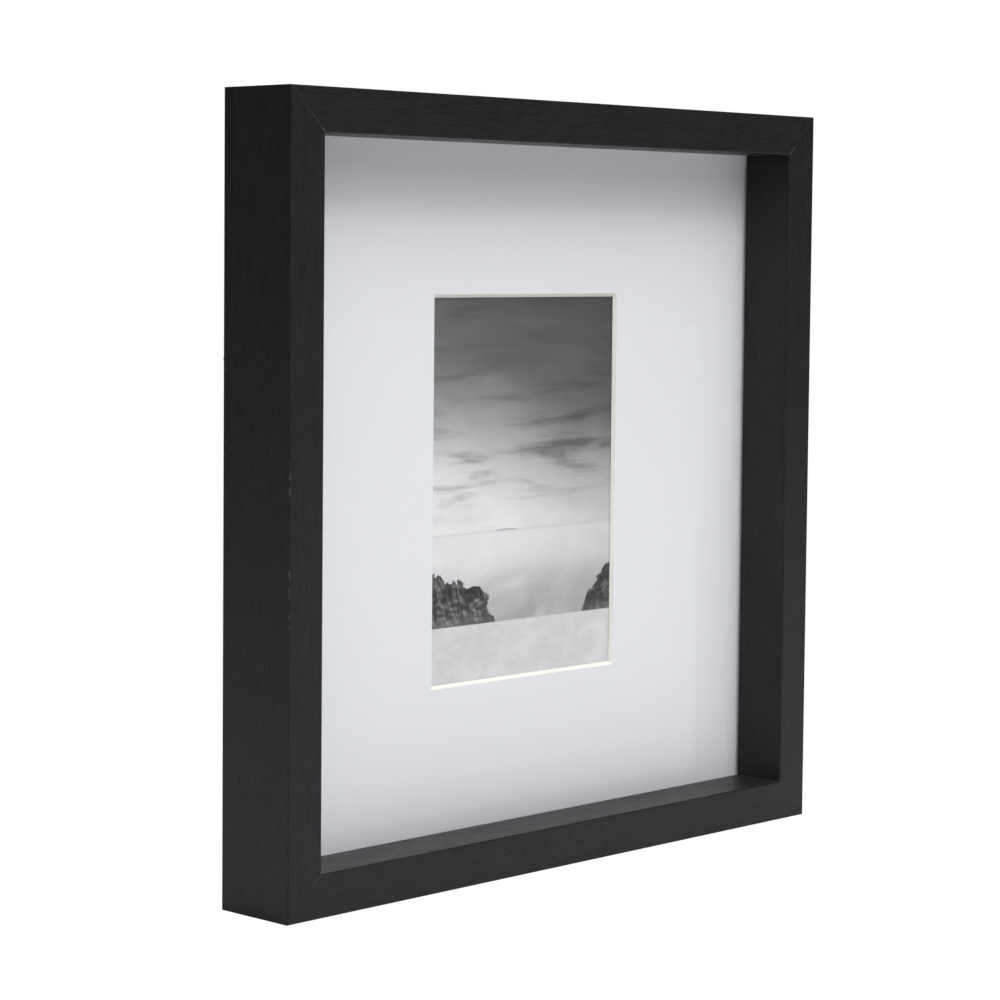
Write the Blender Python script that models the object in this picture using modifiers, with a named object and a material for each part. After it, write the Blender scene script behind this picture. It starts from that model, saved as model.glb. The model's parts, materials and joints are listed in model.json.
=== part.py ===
"""Square deep-sided shadow box with a mounted print, in metres, +Z up.

The box stands on its bottom rail. +X runs along the face to the right, the
face looks towards -Y, and +Y points at the wall behind. The origin is in the
middle of the underside, half way through the whole depth.

Four mitred rails make the box. Their inner walls run straight back from the
face to a rabbet, which holds the glass, the mat, the print, the filler board
and the backing board, in that order. Turn buttons keep the boards in.
"""
import math

import bpy
import bmesh
from mathutils import Matrix, Vector

# Moulding
SIDE = 0.3240            # outer width and height
DEPTH = 0.0390           # face to back of the moulding
FACE_WIDTH = 0.0177      # face of each rail, outer edge to sight edge
RECESS = 0.0254          # face to the rabbet's shoulder
SHOULDER = 0.0085        # width of the shoulder that the glass bears on
ARRIS = 0.0004           # eased long edges
GAP = 0.0003             # clearance between pieces that touch

# Boards in the rabbet
PANEL_SIDE = 0.3048
GLASS_THICKNESS = 0.0020
MAT_THICKNESS = 0.0014
PRINT_THICKNESS = 0.0003
FILLER_THICKNESS = 0.0045
BACKING_THICKNESS = 0.0035
WINDOW_WIDTH = 0.1143    # mat opening at its face; the bevel narrows it behind
WINDOW_HEIGHT = 0.1651
WINDOW_DROP = 0.0014     # middle of the box down to the middle of the window
PRINT_WIDTH = 0.1270
PRINT_HEIGHT = 0.1778
BOARD_ARRIS = 0.0002

# V-nails that pin the mitres
NAIL_THICKNESS = 0.0005
NAIL_LEG = 0.0045
NAIL_HEIGHT = 0.0070
NAIL_HALF_ANGLE = math.radians(65)
NAIL_INSET = 0.0068      # outer corner to the nail's point, along each side
NAIL_SINK = 0.0002       # below the surface it is driven into

# Screws
SHANK_RADIUS = 0.0013
SHANK_LENGTH = 0.0100
TIP_LENGTH = 0.0030
HEAD_RADIUS = 0.0026
HEAD_HEIGHT = 0.0016
RECESS_ARM = 0.0026      # cross recess, tip to tip
RECESS_WIDTH = 0.0006
RECESS_DEPTH = 0.0008

# Turn buttons
BUTTON_THICKNESS = 0.0010
BUTTON_REACH = 0.0170    # pivot to the middle of the tip's arc
BUTTON_HEEL_RADIUS = 0.0038
BUTTON_TIP_RADIUS = 0.0026
BUTTON_SPACING = 0.0950  # middle of the rail to each pivot
BUTTON_INSET = 0.0052    # outer side of the rail to each pivot

# Strap hangers and their rings
STRAP_WIDTH = 0.0048
STRAP_THICKNESS = 0.0012
STRAP_LENGTH = 0.0200    # eye to the far end
STRAP_SCREW = 0.0145     # eye to the screw
STRAP_INSET = 0.0066     # outer side of the rail to the strap's middle
EYE_RADIUS = 0.0022
EYE_BORE_RADIUS = 0.00090
EYE_HEIGHT = 0.2180      # underside of the box to the eye
RING_WIRE_RADIUS = 0.0006
RING_HALF_WIDTH = 0.0033
RING_ARM = 0.0050        # straight part of each arm, before the bow

BUMPER_RADIUS = 0.0040
BUMPER_FLAT_RADIUS = 0.0031
BUMPER_INSET = 0.0130    # outer side of the box to the bumper's middle

ROUND_STEPS = 24
SHARP_ANGLE = math.radians(32)

# Derived sizes
WALL = FACE_WIDTH - SHOULDER
WALL_MIDDLE = WALL / 2
STAND_OFF = GAP + 2 * EYE_RADIUS
FRONT_Y = -(DEPTH + STAND_OFF) / 2
BACK_Y = FRONT_Y + DEPTH
CENTRE = Vector((0, 0, SIDE / 2))
RAIL_NAMES = ("rail_bottom", "rail_left", "rail_top", "rail_right")
CORNER_NAMES = ("bottom_left", "top_left", "top_right", "bottom_right")
QUARTER = math.pi / 2


def clear_scene():
    """Removes every object and collection that the file opened with."""
    for obj in list(bpy.data.objects):
        bpy.data.objects.remove(obj)
    for collection in list(bpy.data.collections):
        bpy.data.collections.remove(collection)


def add_collection(name):
    collection = bpy.data.collections.new(name)
    bpy.context.scene.collection.children.link(collection)
    return collection


def finish(name, colour, roughness, metallic=0.0, transmission=0.0):
    """A Principled material with these values."""
    material = bpy.data.materials.new(name)
    material.use_nodes = True
    shader = material.node_tree.nodes["Principled BSDF"]
    shader.inputs["Base Color"].default_value = (*colour, 1.0)
    shader.inputs["Roughness"].default_value = roughness
    shader.inputs["Metallic"].default_value = metallic
    shader.inputs["Transmission Weight"].default_value = transmission
    return material


def place(name, data, material, collection):
    """An object of this mesh or curve in the collection, with its material."""
    obj = bpy.data.objects.new(name, data)
    if not data.materials:
        data.materials.append(material)
    collection.objects.link(obj)
    return obj


def box_mesh(name, size, centre=(0, 0, 0)):
    """A cube primitive brought to this size about this centre."""
    shape = bmesh.new()
    bmesh.ops.create_cube(shape, size=1.0)
    bmesh.ops.scale(shape, vec=size, verts=shape.verts)
    bmesh.ops.translate(shape, vec=centre, verts=shape.verts)
    mesh = bpy.data.meshes.new(name)
    shape.to_mesh(mesh)
    shape.free()
    return mesh


def cylinder_mesh(name, radius, length):
    """A cylinder about the Z axis, centred on the origin."""
    shape = bmesh.new()
    bmesh.ops.create_cone(
        shape, cap_ends=True, segments=ROUND_STEPS, radius1=radius, radius2=radius, depth=length
    )
    mesh = bpy.data.meshes.new(name)
    shape.to_mesh(mesh)
    shape.free()
    return mesh


def outline_curve(name, outlines, thickness):
    """A filled flat curve of these closed outlines; an outline inside another is a hole."""
    curve = bpy.data.curves.new(name, "CURVE")
    curve.dimensions = "2D"
    curve.fill_mode = "BOTH"
    curve.extrude = thickness / 2
    for outline in outlines:
        spline = curve.splines.new("POLY")
        spline.points.add(len(outline) - 1)
        for point, (across, along) in zip(spline.points, outline):
            point.co = (across, along, 0, 1)
        spline.use_cyclic_u = True
    return curve


def mesh_from_object(obj, name):
    """The object's evaluated shape as a welded mesh, shaded smooth; the object is removed."""
    graph = bpy.context.evaluated_depsgraph_get()
    mesh = bpy.data.meshes.new_from_object(obj.evaluated_get(graph))
    mesh.name = name
    shape = bmesh.new()
    shape.from_mesh(mesh)
    bmesh.ops.remove_doubles(shape, verts=shape.verts, dist=1e-6)
    shape.to_mesh(mesh)
    shape.free()
    mesh.shade_smooth()
    mesh.set_sharp_from_angle(angle=SHARP_ANGLE)
    bpy.data.objects.remove(obj)
    return mesh


def outline_mesh(name, outlines, thickness):
    """The same flat shape as outline_curve, as a mesh that a Boolean can use."""
    guide = bpy.data.objects.new(name, outline_curve(name, outlines, thickness))
    bpy.context.scene.collection.objects.link(guide)
    return mesh_from_object(guide, name)


def arc(centre, radius, start, end, steps):
    """Points along a circular arc, from the angle start to the angle end."""
    points = []
    for step in range(steps + 1):
        angle = start + (end - start) * step / steps
        points.append(
            (centre[0] + radius * math.cos(angle), centre[1] + radius * math.sin(angle))
        )
    return points


def circle(radius, centre=(0, 0)):
    """Points once round a circle."""
    return arc(centre, radius, 0, 2 * math.pi, ROUND_STEPS)[:-1]


def bevel(obj, width, segments=2):
    modifier = obj.modifiers.new("eased edges", "BEVEL")
    modifier.width = width
    modifier.segments = segments


def cutter(name, mesh, collection, parent=None):
    """A wire helper that Booleans cut with and that isn't part of the box."""
    obj = bpy.data.objects.new(name, mesh)
    collection.objects.link(obj)
    obj.parent = parent
    obj.display_type = "WIRE"
    obj.hide_render = True
    return obj


def cut(obj, tool):
    modifier = obj.modifiers.new("cut " + tool.name, "BOOLEAN")
    modifier.operation = "DIFFERENCE"
    modifier.solver = "EXACT"
    modifier.object = tool


def turned_by(index):
    """The turn about Y that takes the bottom rail, or its left corner, to this one."""
    return QUARTER * index


def on_back(index, along, inset, y=BACK_Y):
    """A point on rail number index: along it from its middle, and in from its outer side."""
    turn = Matrix.Rotation(turned_by(index), 4, "Y")
    return CENTRE + turn @ Vector((along, 0, inset - SIDE / 2)) + Vector((0, y, 0))


def face_to_wall(obj, location, turn=0.0):
    """Places a piece whose local +Z points out of the back of the box."""
    obj.location = location
    obj.rotation_euler = (Matrix.Rotation(turn, 3, "Y") @ Matrix.Rotation(-QUARTER, 3, "X")).to_euler()


# Moulding

def make_rail(index, material, parts, cutters):
    """One rail: a bar with eased edges, rabbeted along its back and mitred at both ends."""
    name = RAIL_NAMES[index]
    size = (SIDE * 1.1, DEPTH, FACE_WIDTH)
    middle = (0, FRONT_Y + DEPTH / 2, (FACE_WIDTH - SIDE) / 2)
    rail = place(name, box_mesh(name, size, middle), material, parts)
    rail.location = CENTRE
    rail.rotation_euler.y = turned_by(index)
    bevel(rail, ARRIS)

    rabbet = cutter(name + "_rabbet", box_mesh("rabbet", (SIDE * 1.2, DEPTH, SIDE / 2)), cutters, rail)
    rabbet.location = (0, FRONT_Y + RECESS + DEPTH / 2, WALL - SIDE / 2 + SIDE / 4)
    cut(rail, rabbet)
    for end in (-1, 1):
        mitre = cutter(f"{name}_mitre", box_mesh("mitre", (SIDE, DEPTH * 2, SIDE * 2)), cutters, rail)
        normal = Vector((end, 0, 1)).normalized()
        mitre.location = normal * (SIDE - GAP) / 2
        mitre.rotation_euler.y = -end * math.pi / 4
        cut(rail, mitre)
    return rail


def nail_outline(thickness, leg):
    """A V with its point at the origin, opening towards -Y."""
    along = Vector((math.sin(NAIL_HALF_ANGLE), -math.cos(NAIL_HALF_ANGLE)))
    across = Vector((math.cos(NAIL_HALF_ANGLE), math.sin(NAIL_HALF_ANGLE))) * thickness / 2
    point = thickness / 2 / math.sin(NAIL_HALF_ANGLE)
    tip_out = along * leg + across
    tip_in = along * leg - across
    right = [(0, point), tuple(tip_out), tuple(tip_in)]
    left = [(0, -point), (-tip_in.x, tip_in.y), (-tip_out.x, tip_out.y)]
    return right + left


def nail_place(index, step, surface, height):
    """Location and turn of a nail at a corner; step moves it in from the wall to the shoulder."""
    inset = NAIL_INSET + step * SHOULDER
    location = on_back(index, inset - SIDE / 2, inset, surface - height / 2)
    return location, turned_by(index) + math.pi / 4


def pin_mitres(rails, material, parts, cutters):
    """Two V-nails in each corner, one in the outer wall and one in the shoulder."""
    levels = (("wall", 0, BACK_Y), ("shoulder", 1, FRONT_Y + RECESS))
    slot_height = NAIL_HEIGHT + 4 * GAP
    nail_shape = outline_mesh("v_nail", [nail_outline(NAIL_THICKNESS, NAIL_LEG)], NAIL_HEIGHT)
    slot_outline = nail_outline(NAIL_THICKNESS + 2 * GAP, NAIL_LEG + GAP)
    slot_shape = outline_mesh("v_slot", [slot_outline], slot_height)
    for index, corner in enumerate(CORNER_NAMES):
        for level, step, surface in levels:
            name = f"v_nail_{level}_{corner}"
            nail = place(name, nail_shape, material, parts)
            face_to_wall(nail, *nail_place(index, step, surface - NAIL_SINK, NAIL_HEIGHT))
            slot = cutter(name + "_slot", slot_shape, cutters)
            face_to_wall(slot, *nail_place(index, step, surface + 2 * GAP, slot_height))
            cut(rails[index], slot)
            cut(rails[(index + 1) % len(rails)], slot)


# Boards

def make_board(name, size, front, material, parts):
    """A flat board in the middle of the box, with its front face at the depth front."""
    thickness = size[1]
    board = place(name, box_mesh(name, size), material, parts)
    board.location = CENTRE + Vector((0, FRONT_Y + front + thickness / 2, 0))
    bevel(board, min(BOARD_ARRIS, thickness / 4), segments=1)
    return board


def cut_window(mat, cutters):
    """Cuts the mat's window with a 45 degree bevel that opens towards the viewer."""
    shape = bmesh.new()
    bmesh.ops.create_cube(shape, size=1.0)
    bmesh.ops.scale(shape, vec=(WINDOW_WIDTH, MAT_THICKNESS * 3, WINDOW_HEIGHT), verts=shape.verts)
    for vert in shape.verts:
        beyond_face = -MAT_THICKNESS / 2 - vert.co.y
        vert.co.x += math.copysign(beyond_face, vert.co.x)
        vert.co.z += math.copysign(beyond_face, vert.co.z)
    mesh = bpy.data.meshes.new("window")
    shape.to_mesh(mesh)
    shape.free()
    window = cutter("mat_window", mesh, cutters, mat)
    window.location.z = -WINDOW_DROP
    cut(mat, window)


def fill_rabbet(finishes, parts, cutters):
    """Glass, mat, print, filler and backing, stacked from the shoulder to the back."""
    stack = (
        ("glass_pane", (PANEL_SIDE, GLASS_THICKNESS, PANEL_SIDE), "glass"),
        ("mat_board", (PANEL_SIDE, MAT_THICKNESS, PANEL_SIDE), "mat"),
        ("print_sheet", (PRINT_WIDTH, PRINT_THICKNESS, PRINT_HEIGHT), "print"),
        ("filler_board", (PANEL_SIDE, FILLER_THICKNESS, PANEL_SIDE), "filler"),
        ("backing_board", (PANEL_SIDE, BACKING_THICKNESS, PANEL_SIDE), "backing"),
    )
    boards = {}
    front = RECESS + GAP
    for name, size, key in stack:
        boards[name] = make_board(name, size, front, finishes[key], parts)
        front += size[1] + GAP
    cut_window(boards["mat_board"], cutters)
    boards["print_sheet"].location.z -= WINDOW_DROP


# Fasteners and fittings

def screw_mesh(cutters):
    """A pan-head wood screw with a cross recess; the head's underside is at the origin."""
    dome = arc((HEAD_RADIUS - HEAD_HEIGHT, 0), HEAD_HEIGHT, QUARTER, 0, 5)
    shank = [(SHANK_RADIUS, 0), (SHANK_RADIUS, TIP_LENGTH - SHANK_LENGTH), (0, -SHANK_LENGTH)]
    profile = [(0, HEAD_HEIGHT)] + dome + shank
    mesh = bpy.data.meshes.new("screw_profile")
    edges = [(i, i + 1) for i in range(len(profile) - 1)]
    mesh.from_pydata([(radius, 0, height) for radius, height in profile], edges, [])
    screw = bpy.data.objects.new("screw_profile", mesh)
    bpy.context.scene.collection.objects.link(screw)
    spin(screw)
    for turn in (0, QUARTER):
        size = (RECESS_ARM, RECESS_WIDTH, RECESS_DEPTH * 2)
        arm = cutter("cross_recess", box_mesh("cross_recess", size), cutters)
        arm.location.z = HEAD_HEIGHT
        arm.rotation_euler.z = turn
        cut(screw, arm)
    return mesh_from_object(screw, "pan_head_screw")


def spin(obj):
    """Turns a profile in the XZ plane all the way round Z."""
    modifier = obj.modifiers.new("turned", "SCREW")
    modifier.axis = "Z"
    modifier.angle = 2 * math.pi
    modifier.steps = ROUND_STEPS
    modifier.render_steps = ROUND_STEPS
    modifier.use_merge_vertices = True
    modifier.merge_threshold = 0.00001


def drive_screw(name, spot, head_y, shape, material, parts, cutters, rail):
    """A screw at this spot with its head's underside at head_y, and its pilot hole in the rail."""
    screw = place(name, shape, material, parts)
    face_to_wall(screw, Vector((spot.x, head_y, spot.z)))
    depth = SHANK_LENGTH + GAP
    pilot = cutter(name + "_pilot", cylinder_mesh("pilot", SHANK_RADIUS + GAP, 2 * depth), cutters)
    face_to_wall(pilot, Vector((spot.x, head_y, spot.z)))
    cut(rail, pilot)


def button_mesh():
    """A turn button about its pivot: round heel, tapered finger along +Y, screw hole."""
    taper = math.asin((BUTTON_HEEL_RADIUS - BUTTON_TIP_RADIUS) / BUTTON_REACH)
    heel = arc((0, 0), BUTTON_HEEL_RADIUS, math.pi - taper, 2 * math.pi + taper, 14)
    tip = arc((0, BUTTON_REACH), BUTTON_TIP_RADIUS, taper, math.pi - taper, 8)
    hole = circle(SHANK_RADIUS + GAP)
    return outline_mesh("turn_button", [heel + tip, hole], BUTTON_THICKNESS)


def make_turn_buttons(rails, finishes, screw, parts, cutters):
    """Two turn buttons on each rail, closed over the backing board."""
    shape = button_mesh()
    plate_y = BACK_Y + GAP + BUTTON_THICKNESS / 2
    head_y = BACK_Y + 2 * GAP + BUTTON_THICKNESS
    for index, rail in enumerate(rails):
        side = RAIL_NAMES[index].removeprefix("rail_")
        for number, along in enumerate((-BUTTON_SPACING, BUTTON_SPACING), start=1):
            spot = on_back(index, along, BUTTON_INSET, plate_y)
            button = place(f"turn_button_{side}_{number}", shape, finishes["nickel"], parts)
            face_to_wall(button, spot, turned_by(index) + math.pi)
            name = f"turn_button_screw_{side}_{number}"
            drive_screw(name, spot, head_y, screw, finishes["zinc"], parts, cutters, rail)


def strap_mesh(cutters):
    """A strap rolled into an eye at the origin, running along -X, its base at Y = -EYE_RADIUS."""
    top = STRAP_THICKNESS - EYE_RADIUS
    meet = 2 * math.pi + math.asin(-top / EYE_RADIUS) - math.pi
    roll = arc((0, 0), EYE_RADIUS, -QUARTER, meet, 18)
    end = [(-STRAP_LENGTH, top), (-STRAP_LENGTH, -EYE_RADIUS)]
    mesh = outline_mesh("strap_side", [roll + end, circle(EYE_BORE_RADIUS)], STRAP_WIDTH)
    strap = bpy.data.objects.new("strap_side", mesh)
    bpy.context.scene.collection.objects.link(strap)
    hole = cutter("strap_hole", cylinder_mesh("strap_hole", SHANK_RADIUS + GAP, EYE_RADIUS * 4), cutters)
    hole.location.x = -STRAP_SCREW
    hole.rotation_euler.x = QUARTER
    cut(strap, hole)
    return mesh_from_object(strap, "strap_hanger")


def ring_curve():
    """A D of wire about its bar: the bar lies on X and the bow hangs along -Z."""
    bow = arc((0, -RING_ARM), RING_HALF_WIDTH, 0, -math.pi, 14)
    bar = [(-RING_HALF_WIDTH * part, 0) for part in (0.8, 0.4, 0, -0.4, -0.8)]
    path = bow + [(-RING_HALF_WIDTH, -RING_ARM * 0.2)] + bar + [(RING_HALF_WIDTH, -RING_ARM * 0.2)]
    curve = bpy.data.curves.new("hanging_ring", "CURVE")
    curve.dimensions = "3D"
    curve.bevel_depth = RING_WIRE_RADIUS
    curve.bevel_resolution = 2
    spline = curve.splines.new("POLY")
    spline.points.add(len(path) - 1)
    for point, (x, z) in zip(spline.points, path):
        point.co = (x, 0, z, 1)
    spline.use_cyclic_u = True
    return curve


def make_hangers(rails, finishes, screw, parts, cutters):
    """A strap hanger on each side rail, eye upwards, with its ring hanging over the strap."""
    strap_shape = strap_mesh(cutters)
    ring_shape = ring_curve()
    eye_y = BACK_Y + GAP + EYE_RADIUS
    head_y = BACK_Y + 2 * GAP + STRAP_THICKNESS
    for side, hand in (("left", -1), ("right", 1)):
        rail = rails[RAIL_NAMES.index("rail_" + side)]
        eye = Vector((hand * (SIDE / 2 - STRAP_INSET), eye_y, EYE_HEIGHT))
        strap = place(f"strap_hanger_{side}", strap_shape, finishes["nickel"], parts)
        strap.location = eye
        strap.rotation_euler = Matrix(((0, 0, 1), (0, 1, 0), (-1, 0, 0))).transposed().to_euler()
        ring = place(f"hanging_ring_{side}", ring_shape, finishes["nickel"], parts)
        ring.location = eye
        spot = eye - Vector((0, 0, STRAP_SCREW))
        name = f"strap_hanger_screw_{side}"
        drive_screw(name, spot, head_y, screw, finishes["zinc"], parts, cutters, rail)


def make_bumpers(material, parts):
    """A round rubber bumper near each lower corner of the back."""
    rim = BUMPER_RADIUS - BUMPER_FLAT_RADIUS
    top = STAND_OFF - GAP
    shoulder = arc((BUMPER_FLAT_RADIUS, top - rim), rim, QUARTER, 0, 5)
    profile = [(0, top)] + shoulder + [(BUMPER_RADIUS, 0), (0, 0)]
    mesh = bpy.data.meshes.new("wall_bumper")
    edges = [(i, i + 1) for i in range(len(profile) - 1)]
    mesh.from_pydata([(radius, 0, height) for radius, height in profile], edges, [])
    for side, hand in (("left", -1), ("right", 1)):
        bumper = place(f"wall_bumper_{side}", mesh, material, parts)
        spin(bumper)
        spot = Vector((hand * (SIDE / 2 - BUMPER_INSET), BACK_Y + GAP, WALL_MIDDLE))
        face_to_wall(bumper, spot)


def make_finishes():
    """Every material of the box, by the piece or metal it belongs to."""
    return {
        "wood": finish("black_stained_wood", (0.022, 0.022, 0.025), 0.45),
        "glass": finish("clear_glass", (0.95, 0.97, 0.96), 0.03, transmission=1.0),
        "mat": finish("white_mat_board", (0.86, 0.86, 0.88), 0.9),
        "print": finish("printed_sheet", (0.35, 0.36, 0.38), 0.5),
        "filler": finish("grey_filler_board", (0.45, 0.42, 0.38), 0.95),
        "backing": finish("brown_hardboard", (0.20, 0.12, 0.07), 0.75),
        "nickel": finish("nickel_plated_steel", (0.66, 0.64, 0.60), 0.28, metallic=1.0),
        "zinc": finish("zinc_plated_steel", (0.62, 0.64, 0.67), 0.35, metallic=1.0),
        "steel": finish("bright_nail_steel", (0.50, 0.50, 0.52), 0.4, metallic=1.0),
        "rubber": finish("dark_rubber", (0.03, 0.03, 0.03), 0.8),
    }


def main():
    clear_scene()
    parts = add_collection("shadow_box")
    cutters = add_collection("shadow_box_cutters")
    finishes = make_finishes()
    rails = [make_rail(index, finishes["wood"], parts, cutters) for index in range(4)]
    pin_mitres(rails, finishes["steel"], parts, cutters)
    fill_rabbet(finishes, parts, cutters)
    screw = screw_mesh(cutters)
    make_turn_buttons(rails, finishes, screw, parts, cutters)
    make_hangers(rails, finishes, screw, parts, cutters)
    make_bumpers(finishes["rubber"], parts)


main()
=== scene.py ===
"""Looks of a square, deep-sided shadow box with a mounted print.

Metres, +Z up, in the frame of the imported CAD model: +X runs along the face, the
face looks towards -Y, and +Y points at the wall behind. Each sub-assembly is a
class that builds its pieces and dresses them in its finishes. A piece stands for
one CAD node and rides on that node's body.
"""

import json
import logging
import math
from collections.abc import Iterable, Sequence
from dataclasses import dataclass, field, replace
from enum import Enum
from typing import Union

import bmesh
import bpy
from mathutils import Matrix, Vector

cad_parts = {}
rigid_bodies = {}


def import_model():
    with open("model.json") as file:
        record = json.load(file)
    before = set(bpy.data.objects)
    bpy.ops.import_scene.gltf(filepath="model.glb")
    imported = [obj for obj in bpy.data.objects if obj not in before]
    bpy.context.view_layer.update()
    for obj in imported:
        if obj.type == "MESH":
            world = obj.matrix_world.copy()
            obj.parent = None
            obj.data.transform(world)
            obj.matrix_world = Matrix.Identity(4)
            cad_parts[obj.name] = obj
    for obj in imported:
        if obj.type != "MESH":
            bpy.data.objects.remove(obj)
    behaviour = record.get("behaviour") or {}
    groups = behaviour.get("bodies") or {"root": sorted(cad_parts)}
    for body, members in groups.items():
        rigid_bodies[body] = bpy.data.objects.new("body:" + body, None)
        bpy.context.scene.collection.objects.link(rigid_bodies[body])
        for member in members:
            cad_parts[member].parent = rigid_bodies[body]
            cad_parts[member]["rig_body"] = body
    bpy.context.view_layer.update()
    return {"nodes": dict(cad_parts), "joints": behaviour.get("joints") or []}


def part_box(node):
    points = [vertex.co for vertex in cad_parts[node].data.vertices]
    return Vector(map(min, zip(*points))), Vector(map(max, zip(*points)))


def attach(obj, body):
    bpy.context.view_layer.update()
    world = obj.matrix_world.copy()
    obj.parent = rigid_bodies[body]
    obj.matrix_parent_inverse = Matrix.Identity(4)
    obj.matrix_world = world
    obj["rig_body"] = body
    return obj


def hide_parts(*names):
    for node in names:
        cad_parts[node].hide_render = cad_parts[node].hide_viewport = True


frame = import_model()

LOG = logging.getLogger("shadow_box")
MM = 0.001
QUARTER = math.pi / 2
SHARP_ANGLE = math.radians(32)
WELD = 1e-6
EDGE_LAYER = "edge"

Shape = bmesh.types.BMesh
Value = Union[bpy.types.NodeSocket, float, tuple[float, ...]]


# Names shared by several classes


class Turned(Enum):
    """Places on the square, in the order that a quarter turn about Y visits them."""

    @property
    def turn(self) -> float:
        """The turn about Y that takes the first place to this one."""
        return QUARTER * self.value

    @property
    def word(self) -> str:
        """The place's name as the nodes spell it."""
        return self.name.lower()


class Side(Turned):
    """A side of the square."""

    BOTTOM = 0
    LEFT = 1
    TOP = 2
    RIGHT = 3


class Corner(Turned):
    """A mitre, each between the side of its own number and the next."""

    BOTTOM_LEFT = 0
    TOP_LEFT = 1
    TOP_RIGHT = 2
    BOTTOM_RIGHT = 3

    @property
    def sides(self) -> tuple[Side, Side]:
        """The two rails that meet here."""
        return Side(self.value), Side((self.value + 1) % len(Side))


class Slot(Enum):
    """The record's material slots."""

    WOOD = "black_wood"
    GLASS = "clear_glass"
    MAT = "white_mat"
    PRINT = "print_paper"
    FILLER = "grey_board"
    BACKING = "hardboard"
    NAIL = "nail_steel"
    NICKEL = "nickel_plate"
    ZINC = "zinc_plate"
    RUBBER = "dark_rubber"


# Mesh helpers


def of_kind(geometry: Iterable[object], kind: type) -> list:
    """The items of one kind, such as vertices, in what an operator gives back."""
    return [item for item in geometry if isinstance(item, kind)]


def turned(profile: Sequence[tuple[float, float]], segments: int) -> Shape:
    """A solid turned about Z.

    Args:
        profile: (radius, height) points; the first and the last lie on the axis.
        segments: Number of steps in the full turn.

    Returns:
        The closed shape.
    """
    shape = bmesh.new()
    verts = [shape.verts.new((radius, 0, height)) for radius, height in profile]
    edges = [shape.edges.new(pair) for pair in zip(verts, verts[1:])]
    bmesh.ops.spin(
        shape,
        geom=verts + edges,
        cent=(0, 0, 0),
        axis=(0, 0, 1),
        angle=2 * math.pi,
        steps=segments,
        use_merge=True,
    )
    bmesh.ops.remove_doubles(shape, verts=shape.verts, dist=WELD)
    bmesh.ops.recalc_face_normals(shape, faces=shape.faces)
    return shape


def arc(centre: tuple[float, float], radius: float, start: float, end: float, steps: int) -> list:
    """Points along a circular arc.

    Args:
        centre: Middle of the circle.
        radius: Radius of the circle.
        start: Angle of the first point.
        end: Angle of the last point.
        steps: Number of steps between them.

    Returns:
        The points as pairs.
    """
    angles = [start + (end - start) * step / steps for step in range(steps + 1)]
    return [(centre[0] + radius * math.cos(a), centre[1] + radius * math.sin(a)) for a in angles]


def slab(size: Sequence[float], centre: Sequence[float] = (0, 0, 0)) -> Shape:
    """A rectangular block.

    Args:
        size: Its lengths along X, Y and Z.
        centre: Its middle.

    Returns:
        The closed shape.
    """
    shape = bmesh.new()
    bmesh.ops.create_cube(shape, size=1.0)
    bmesh.ops.scale(shape, vec=size, verts=shape.verts)
    bmesh.ops.translate(shape, vec=centre, verts=shape.verts)
    return shape


def rod(radius: float, length: float, segments: int = 24) -> Shape:
    """A cylinder along Z about the origin.

    Args:
        radius: Its radius.
        length: Its length.
        segments: Number of its sides.

    Returns:
        The closed shape.
    """
    shape = bmesh.new()
    bmesh.ops.create_cone(
        shape, cap_ends=True, segments=segments, radius1=radius, radius2=radius, depth=length
    )
    return shape


def prism(outline: Sequence[tuple[float, float]], height: float) -> Shape:
    """A flat outline in XY given a thickness about z = 0.

    Args:
        outline: The corners, in order.
        height: Thickness along Z.

    Returns:
        The closed shape.
    """
    shape = bmesh.new()
    face = shape.faces.new([shape.verts.new((x, y, -height / 2)) for x, y in outline])
    grown = bmesh.ops.extrude_face_region(shape, geom=[face])
    raised = of_kind(grown["geom"], bmesh.types.BMVert)
    bmesh.ops.translate(shape, vec=(0, 0, height), verts=raised)
    bmesh.ops.recalc_face_normals(shape, faces=shape.faces)
    return shape


def ease(
    shape: Shape, edges: Sequence[bmesh.types.BMEdge], radius: float, segments: int = 3
) -> list:
    """Rounds these edges.

    Args:
        shape: The shape that they belong to.
        edges: Edges to round.
        radius: Width of the rounding.
        segments: Steps across it.

    Returns:
        The faces of the rounding.
    """
    made = bmesh.ops.bevel(
        shape,
        geom=edges,
        offset=radius,
        segments=segments,
        profile=0.5,
        affect="EDGES",
        material=-1,
        clamp_overlap=True,
    )
    return made["faces"]


def sharp_edges(shape: Shape, angle: float = math.radians(50)) -> list:
    """The outward edges where two faces meet at more than this angle."""
    return [
        e for e in shape.edges if e.is_manifold and e.is_convex and e.calc_face_angle() > angle
    ]


def moved(shape: Shape, matrix: Matrix) -> Shape:
    """The same shape, put in its place."""
    bmesh.ops.transform(shape, matrix=matrix, verts=shape.verts)
    return shape


def as_object(name: str, shape: Shape) -> bpy.types.Object:
    """Puts a shape in the scene as an object.

    Args:
        name: Name of the object and its mesh.
        shape: Its shape; it is freed.

    Returns:
        The object.
    """
    mesh = bpy.data.meshes.new(name)
    shape.to_mesh(mesh)
    shape.free()
    obj = bpy.data.objects.new(name, mesh)
    bpy.context.scene.collection.objects.link(obj)
    return obj


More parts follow.
